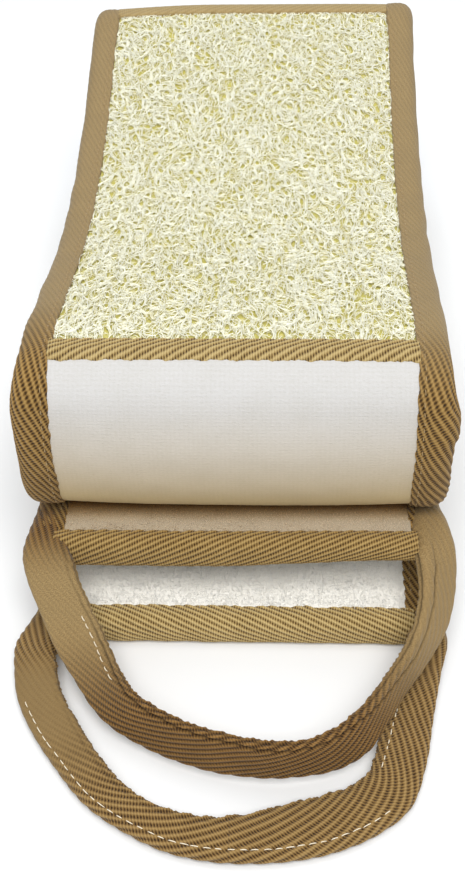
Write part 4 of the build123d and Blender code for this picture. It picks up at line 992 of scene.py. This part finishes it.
def strap(name, stations, body_pair, start, end, node, groove, material, seed):
    """Tape folded double along its length, with rounded edges, twill relief and the seam line near its open edge."""
    c, v = spline(stations, 0.36)
    mid, a, t, n, w = axes_of(c)
    T = c[:, 6]
    nt, na = 44, 13
    rows_p, rows_q, rows_u = [], [], []
    r = T / 2 * 0.98
    lin_ = np.linspace(-1, 1, nt)
    for face in (1, -1):
        rows_p.append((lin_ * face)[None] * (w / 2 - r)[:, None])
        rows_q.append(np.full((len(v), nt), face) * (T / 2)[:, None])
        ang = np.linspace(np.pi / 2, -np.pi / 2, na + 2)[1:-1]
        rows_p.append(face * ((w / 2 - r)[:, None] + r[:, None] * np.cos(ang)[None]))
        rows_q.append(face * (T / 2)[:, None] * np.sin(ang)[None])
    P, Q = np.concatenate(rows_p, 1), np.concatenate(rows_q, 1)
    P, Q = np.roll(P, nt // 2, 1), np.roll(Q, nt // 2, 1)            # the columns start in the middle of the hidden face
    dp, dq = np.diff(P, axis=1, append=P[:, :1]), np.diff(Q, axis=1, append=Q[:, :1])
    U = np.concatenate([np.zeros((len(v), 1)), np.cumsum(np.hypot(dp, dq), 1)[:, :-1]], 1)
    tp, tq = np.roll(P, -1, 1) - np.roll(P, 1, 1), np.roll(Q, -1, 1) - np.roll(Q, 1, 1)
    ln = np.hypot(tp, tq) + 1e-9
    np_, nq = -tq / ln, tp / ln
    flip = np.sign(np_[:, nt + na // 2 + nt // 2])[:, None]          # normal must point out at the inner edge
    np_, nq = np_ * flip, nq * flip
    V = np.broadcast_to(v[:, None], P.shape)
    ends = step(0, 16, v) * (1 - step(v[-1] - 16, v[-1], v))
    k = V / v[-1]
    crisp = 1 - 0.74 * step(0.09, 0.16, k) * (1 - step(0.20, 0.36, k))
    if seed == 202:
        crisp = crisp - 0.68 * step(0.62, 0.80, k)
    relief = (0.42 * twill(U, V, STRAP_TURN, STRAP_RIB) - 0.27) * crisp
    puff = 0.20 * np.sign(Q) * np.clip(1 - (2 * P / w[:, None]) ** 2, 0, 1) * (T < 4.5)[:, None]
    soft = 0.30 * wave2(V, P, seed, 16.0) * ends[:, None] * np.sign(Q)
    gap = groove(v)[:, None]
    d1 = w[:, None] / 2 - P
    show = step(0.10, 0.30, k) if seed == 201 else 0.35 + 0.65 * step(0.14, 0.34, k)
    show = show * ends[:, None]
    if seed == 202:
        show = show * (1 - step(0.84, 0.91, k))
    line = np.exp(-(((d1 - gap - 0.22 * wave(v, seed + 5, 6.0)[:, None]) / 0.36) ** 2)) * (Q > 0) * show
    slit = np.exp(-((Q / 0.30) ** 2)) * (P > 0) * (np.abs(P) > (w / 2 - r)[:, None]) * ends[:, None]
    cut = (0.95 if seed == 202 else 0.30) * line
    lip = 0.55 * slit
    fringe = (0.20 * wave(v, seed + 3, 1.7) + 0.22 * wave(v, seed + 4, 6.0))[:, None] * (d1 < 1.3) * ends[:, None]
    # painted shade: the seam groove and the fold's slit are darkened in colour, more on loop B
    shade = np.clip((0.80 if seed == 202 else 0.22) * line + 0.6 * slit, 0, 1)
    push = relief - cut - lip + fringe
    P2, Q2 = P + np_ * push, Q + nq * push + puff + soft * 0.6
    pts = mid[:, None] + a[:, None] * P2[..., None] + n[:, None] * Q2[..., None]
    pts[..., 2] = np.maximum(pts[..., 2], 0.12)
    uv = np.stack([U, V], -1)
    half = len(v) // 2
    obs = []
    for word, lo, hi in (("left", 0, half + 1), ("right", half, len(v))):
        ob = loft(f"{name}_{word}", pts[lo:hi], material, uv[lo:hi], {"crisp": crisp[lo:hi], "shade": shade[lo:hi]})
        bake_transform(ob)
        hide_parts(node)
        obs.append(ob)
    return c, v


def strap_stitches(name, c, v, v0, v1, inset, face, body_pair, start, end, node, seed, pitch=2.7, length=2.15):
    g = np.random.default_rng(seed)
    mid, a, t, n, w = axes_of(c)
    at = np.arange(v0, v1, pitch)
    at = at + g.normal(0, 0.22, len(at))
    k = np.linspace(-1, 1, 6)[None, :]
    vv = at[:, None] + k * length / 2 * g.uniform(0.8, 1.15, len(at))[:, None]
    ins = inset(at)[:, None] + 0.10 * wave(at, seed, 14.0)[:, None]
    get = lambda arr: np.stack([np.interp(vv, v, arr[:, j]) for j in range(3)], -1)
    M, A, N = get(mid), get(a), get(n)
    W, T = np.interp(vv, v, w), np.interp(vv, v, c[:, 6])
    p = -W / 2 + ins if True else W
    q = face * (T / 2 + 0.22 + g.normal(0, 0.05, len(at))[:, None] + 0.16 * (1 - k ** 2) - 0.34 * np.abs(k) ** 4)
    pts = M + A * p[..., None] + N * q[..., None]
    pts[..., 2] = np.maximum(pts[..., 2], 0.2)
    rad = 0.145 * (1 - 0.5 * np.abs(k) ** 4) * np.ones_like(vv)
    ob = strands(name, pts, rad, N * face, MAT_WHITE, 6, 0.8, None, np.stack([p, vv], -1))
    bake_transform(ob)
    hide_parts(node)
    return ob


YS = Y_SHIFT * 0.001
LOOP_A = (("lower_run", "loop_a"), (0, -0.004 + YS, 0.004), (0, -0.014 + YS, 0.004))
LOOP_B = (("end_run", "loop_b"), (0, 0.004 + YS, 0.029), (0, -0.009 + YS, 0.026))
ca, va = strap("handle_a_strap", A_STATIONS, *LOOP_A, "handle_a", lambda v: 1.5 + 0 * v, MAT_STRAP, 201)
cb, vb = strap("handle_b_strap", B_STATIONS, *LOOP_B, "handle_b",
               lambda v: 1.3 + 2.6 * step(0.62, 0.76, v / v[-1]), MAT_STRAP_B_PAINTED_SHADE, 202)
wa = np.linalg.norm(ca[:, 3:6] - ca[:, :3], axis=1)
edge_a = lambda at: np.where(at / va[-1] < 0.70, 2.6, np.interp(at, va, wa) - 2.6)
strap_stitches("handle_a_thread", ca, va, 40, va[-1] * 0.685, edge_a, 1, *LOOP_A, "handle_a_stitches", 211)
strap_stitches("handle_a_thread_right", ca, va, va[-1] * 0.72, va[-1] - 26, edge_a, 1, *LOOP_A, "handle_a_stitches", 212)
wb = np.linalg.norm(cb[:, 3:6] - cb[:, :3], axis=1)
edge_b = lambda at: np.interp(at, vb, wb) - 2.9
strap_stitches("handle_b_thread", cb, vb, 46, vb[-1] * 0.30, edge_b, 1, *LOOP_B, "handle_b_stitches", 213)
strap_stitches("handle_b_thread_back", cb, vb, vb[-1] * 0.36, vb[-1] - 34, edge_b, -1, *LOOP_B, "handle_b_stitches", 214)


# ------------------------------------------------------------------------------------------------ studio
def studio():
    me = bpy.data.meshes.new("floor")
    me.from_pydata([(-3, -3, 0), (3, -3, 0), (3, 3, 0), (-3, 3, 0)], [], [(0, 1, 2, 3)])
    floor = bpy.data.objects.new("floor", me)
    m = Nodes("floor_paper")
    m.bsdf.inputs["Base Color"].default_value = (0.82, 0.825, 0.835, 1)
    m.bsdf.inputs["Roughness"].default_value = 1.0
    m.bsdf.inputs["Specular IOR Level"].default_value = 0.0
    me.materials.append(m.mat)
    bpy.context.scene.collection.objects.link(floor)
    world = bpy.data.worlds.new("studio")
    world.use_nodes = True
    bg = world.node_tree.nodes["Background"]
    bg.inputs[0].default_value = (0.90, 0.95, 1.0, 1)
    bg.inputs[1].default_value = 0.55
    bpy.context.scene.world = world

    def area(name, loc, aim, size, power, colour):
        li = bpy.data.lights.new(name, "AREA")
        li.shape, li.size, li.energy, li.color = "SQUARE", size, power, colour
        ob = bpy.data.objects.new(name, li)
        d = np.array(aim, float) - np.array(loc, float)
        ob.location = loc
        from mathutils import Vector
        ob.rotation_mode = "QUATERNION"
        ob.rotation_quaternion = Vector(d).to_track_quat("-Z", "Y")
        bpy.context.scene.collection.objects.link(ob)

    area("overhead", (0.0, 0.35, 1.20), (0, 0, 0), 1.0, 5.0, (1.0, 0.99, 0.97))
    area("front", (0.09, -0.80, 1.30), (0, 0, 0.02), 0.8, 19.5, (1.0, 0.99, 0.965))
    bpy.context.scene.view_settings.view_transform = "Standard"
    bpy.context.scene.view_settings.look = "None"

    cam = bpy.data.cameras.new("camera")
    cam.sensor_width, cam.lens, cam.sensor_fit = 36.0, 1450.0 / 879.0 * 36.0, "AUTO"
    cam.clip_start, cam.clip_end = 0.01, 20
    cam.dof.use_dof = False
    ob = bpy.data.objects.new("camera", cam)
    yaw, roll, el = math.radians(3.4), math.radians(-1.85), math.radians(41.9)
    f = np.array([-math.sin(yaw) * math.cos(el), math.cos(yaw) * math.cos(el), -math.sin(el)])
    r = np.array([math.cos(yaw), math.sin(yaw), 0.0])
    u = np.cross(r, f)
    r2, u2 = r * math.cos(roll) + u * math.sin(roll), -r * math.sin(roll) + u * math.cos(roll)
    m = Matrix([[r2[i], u2[i], -f[i], v] for i, v in enumerate((0.0162, (-266.8 + Y_SHIFT) * 0.001, 0.309))] + [[0, 0, 0, 1]])
    ob.matrix_world = m
    bpy.context.scene.collection.objects.link(ob)
    bpy.context.scene.camera = ob


studio()
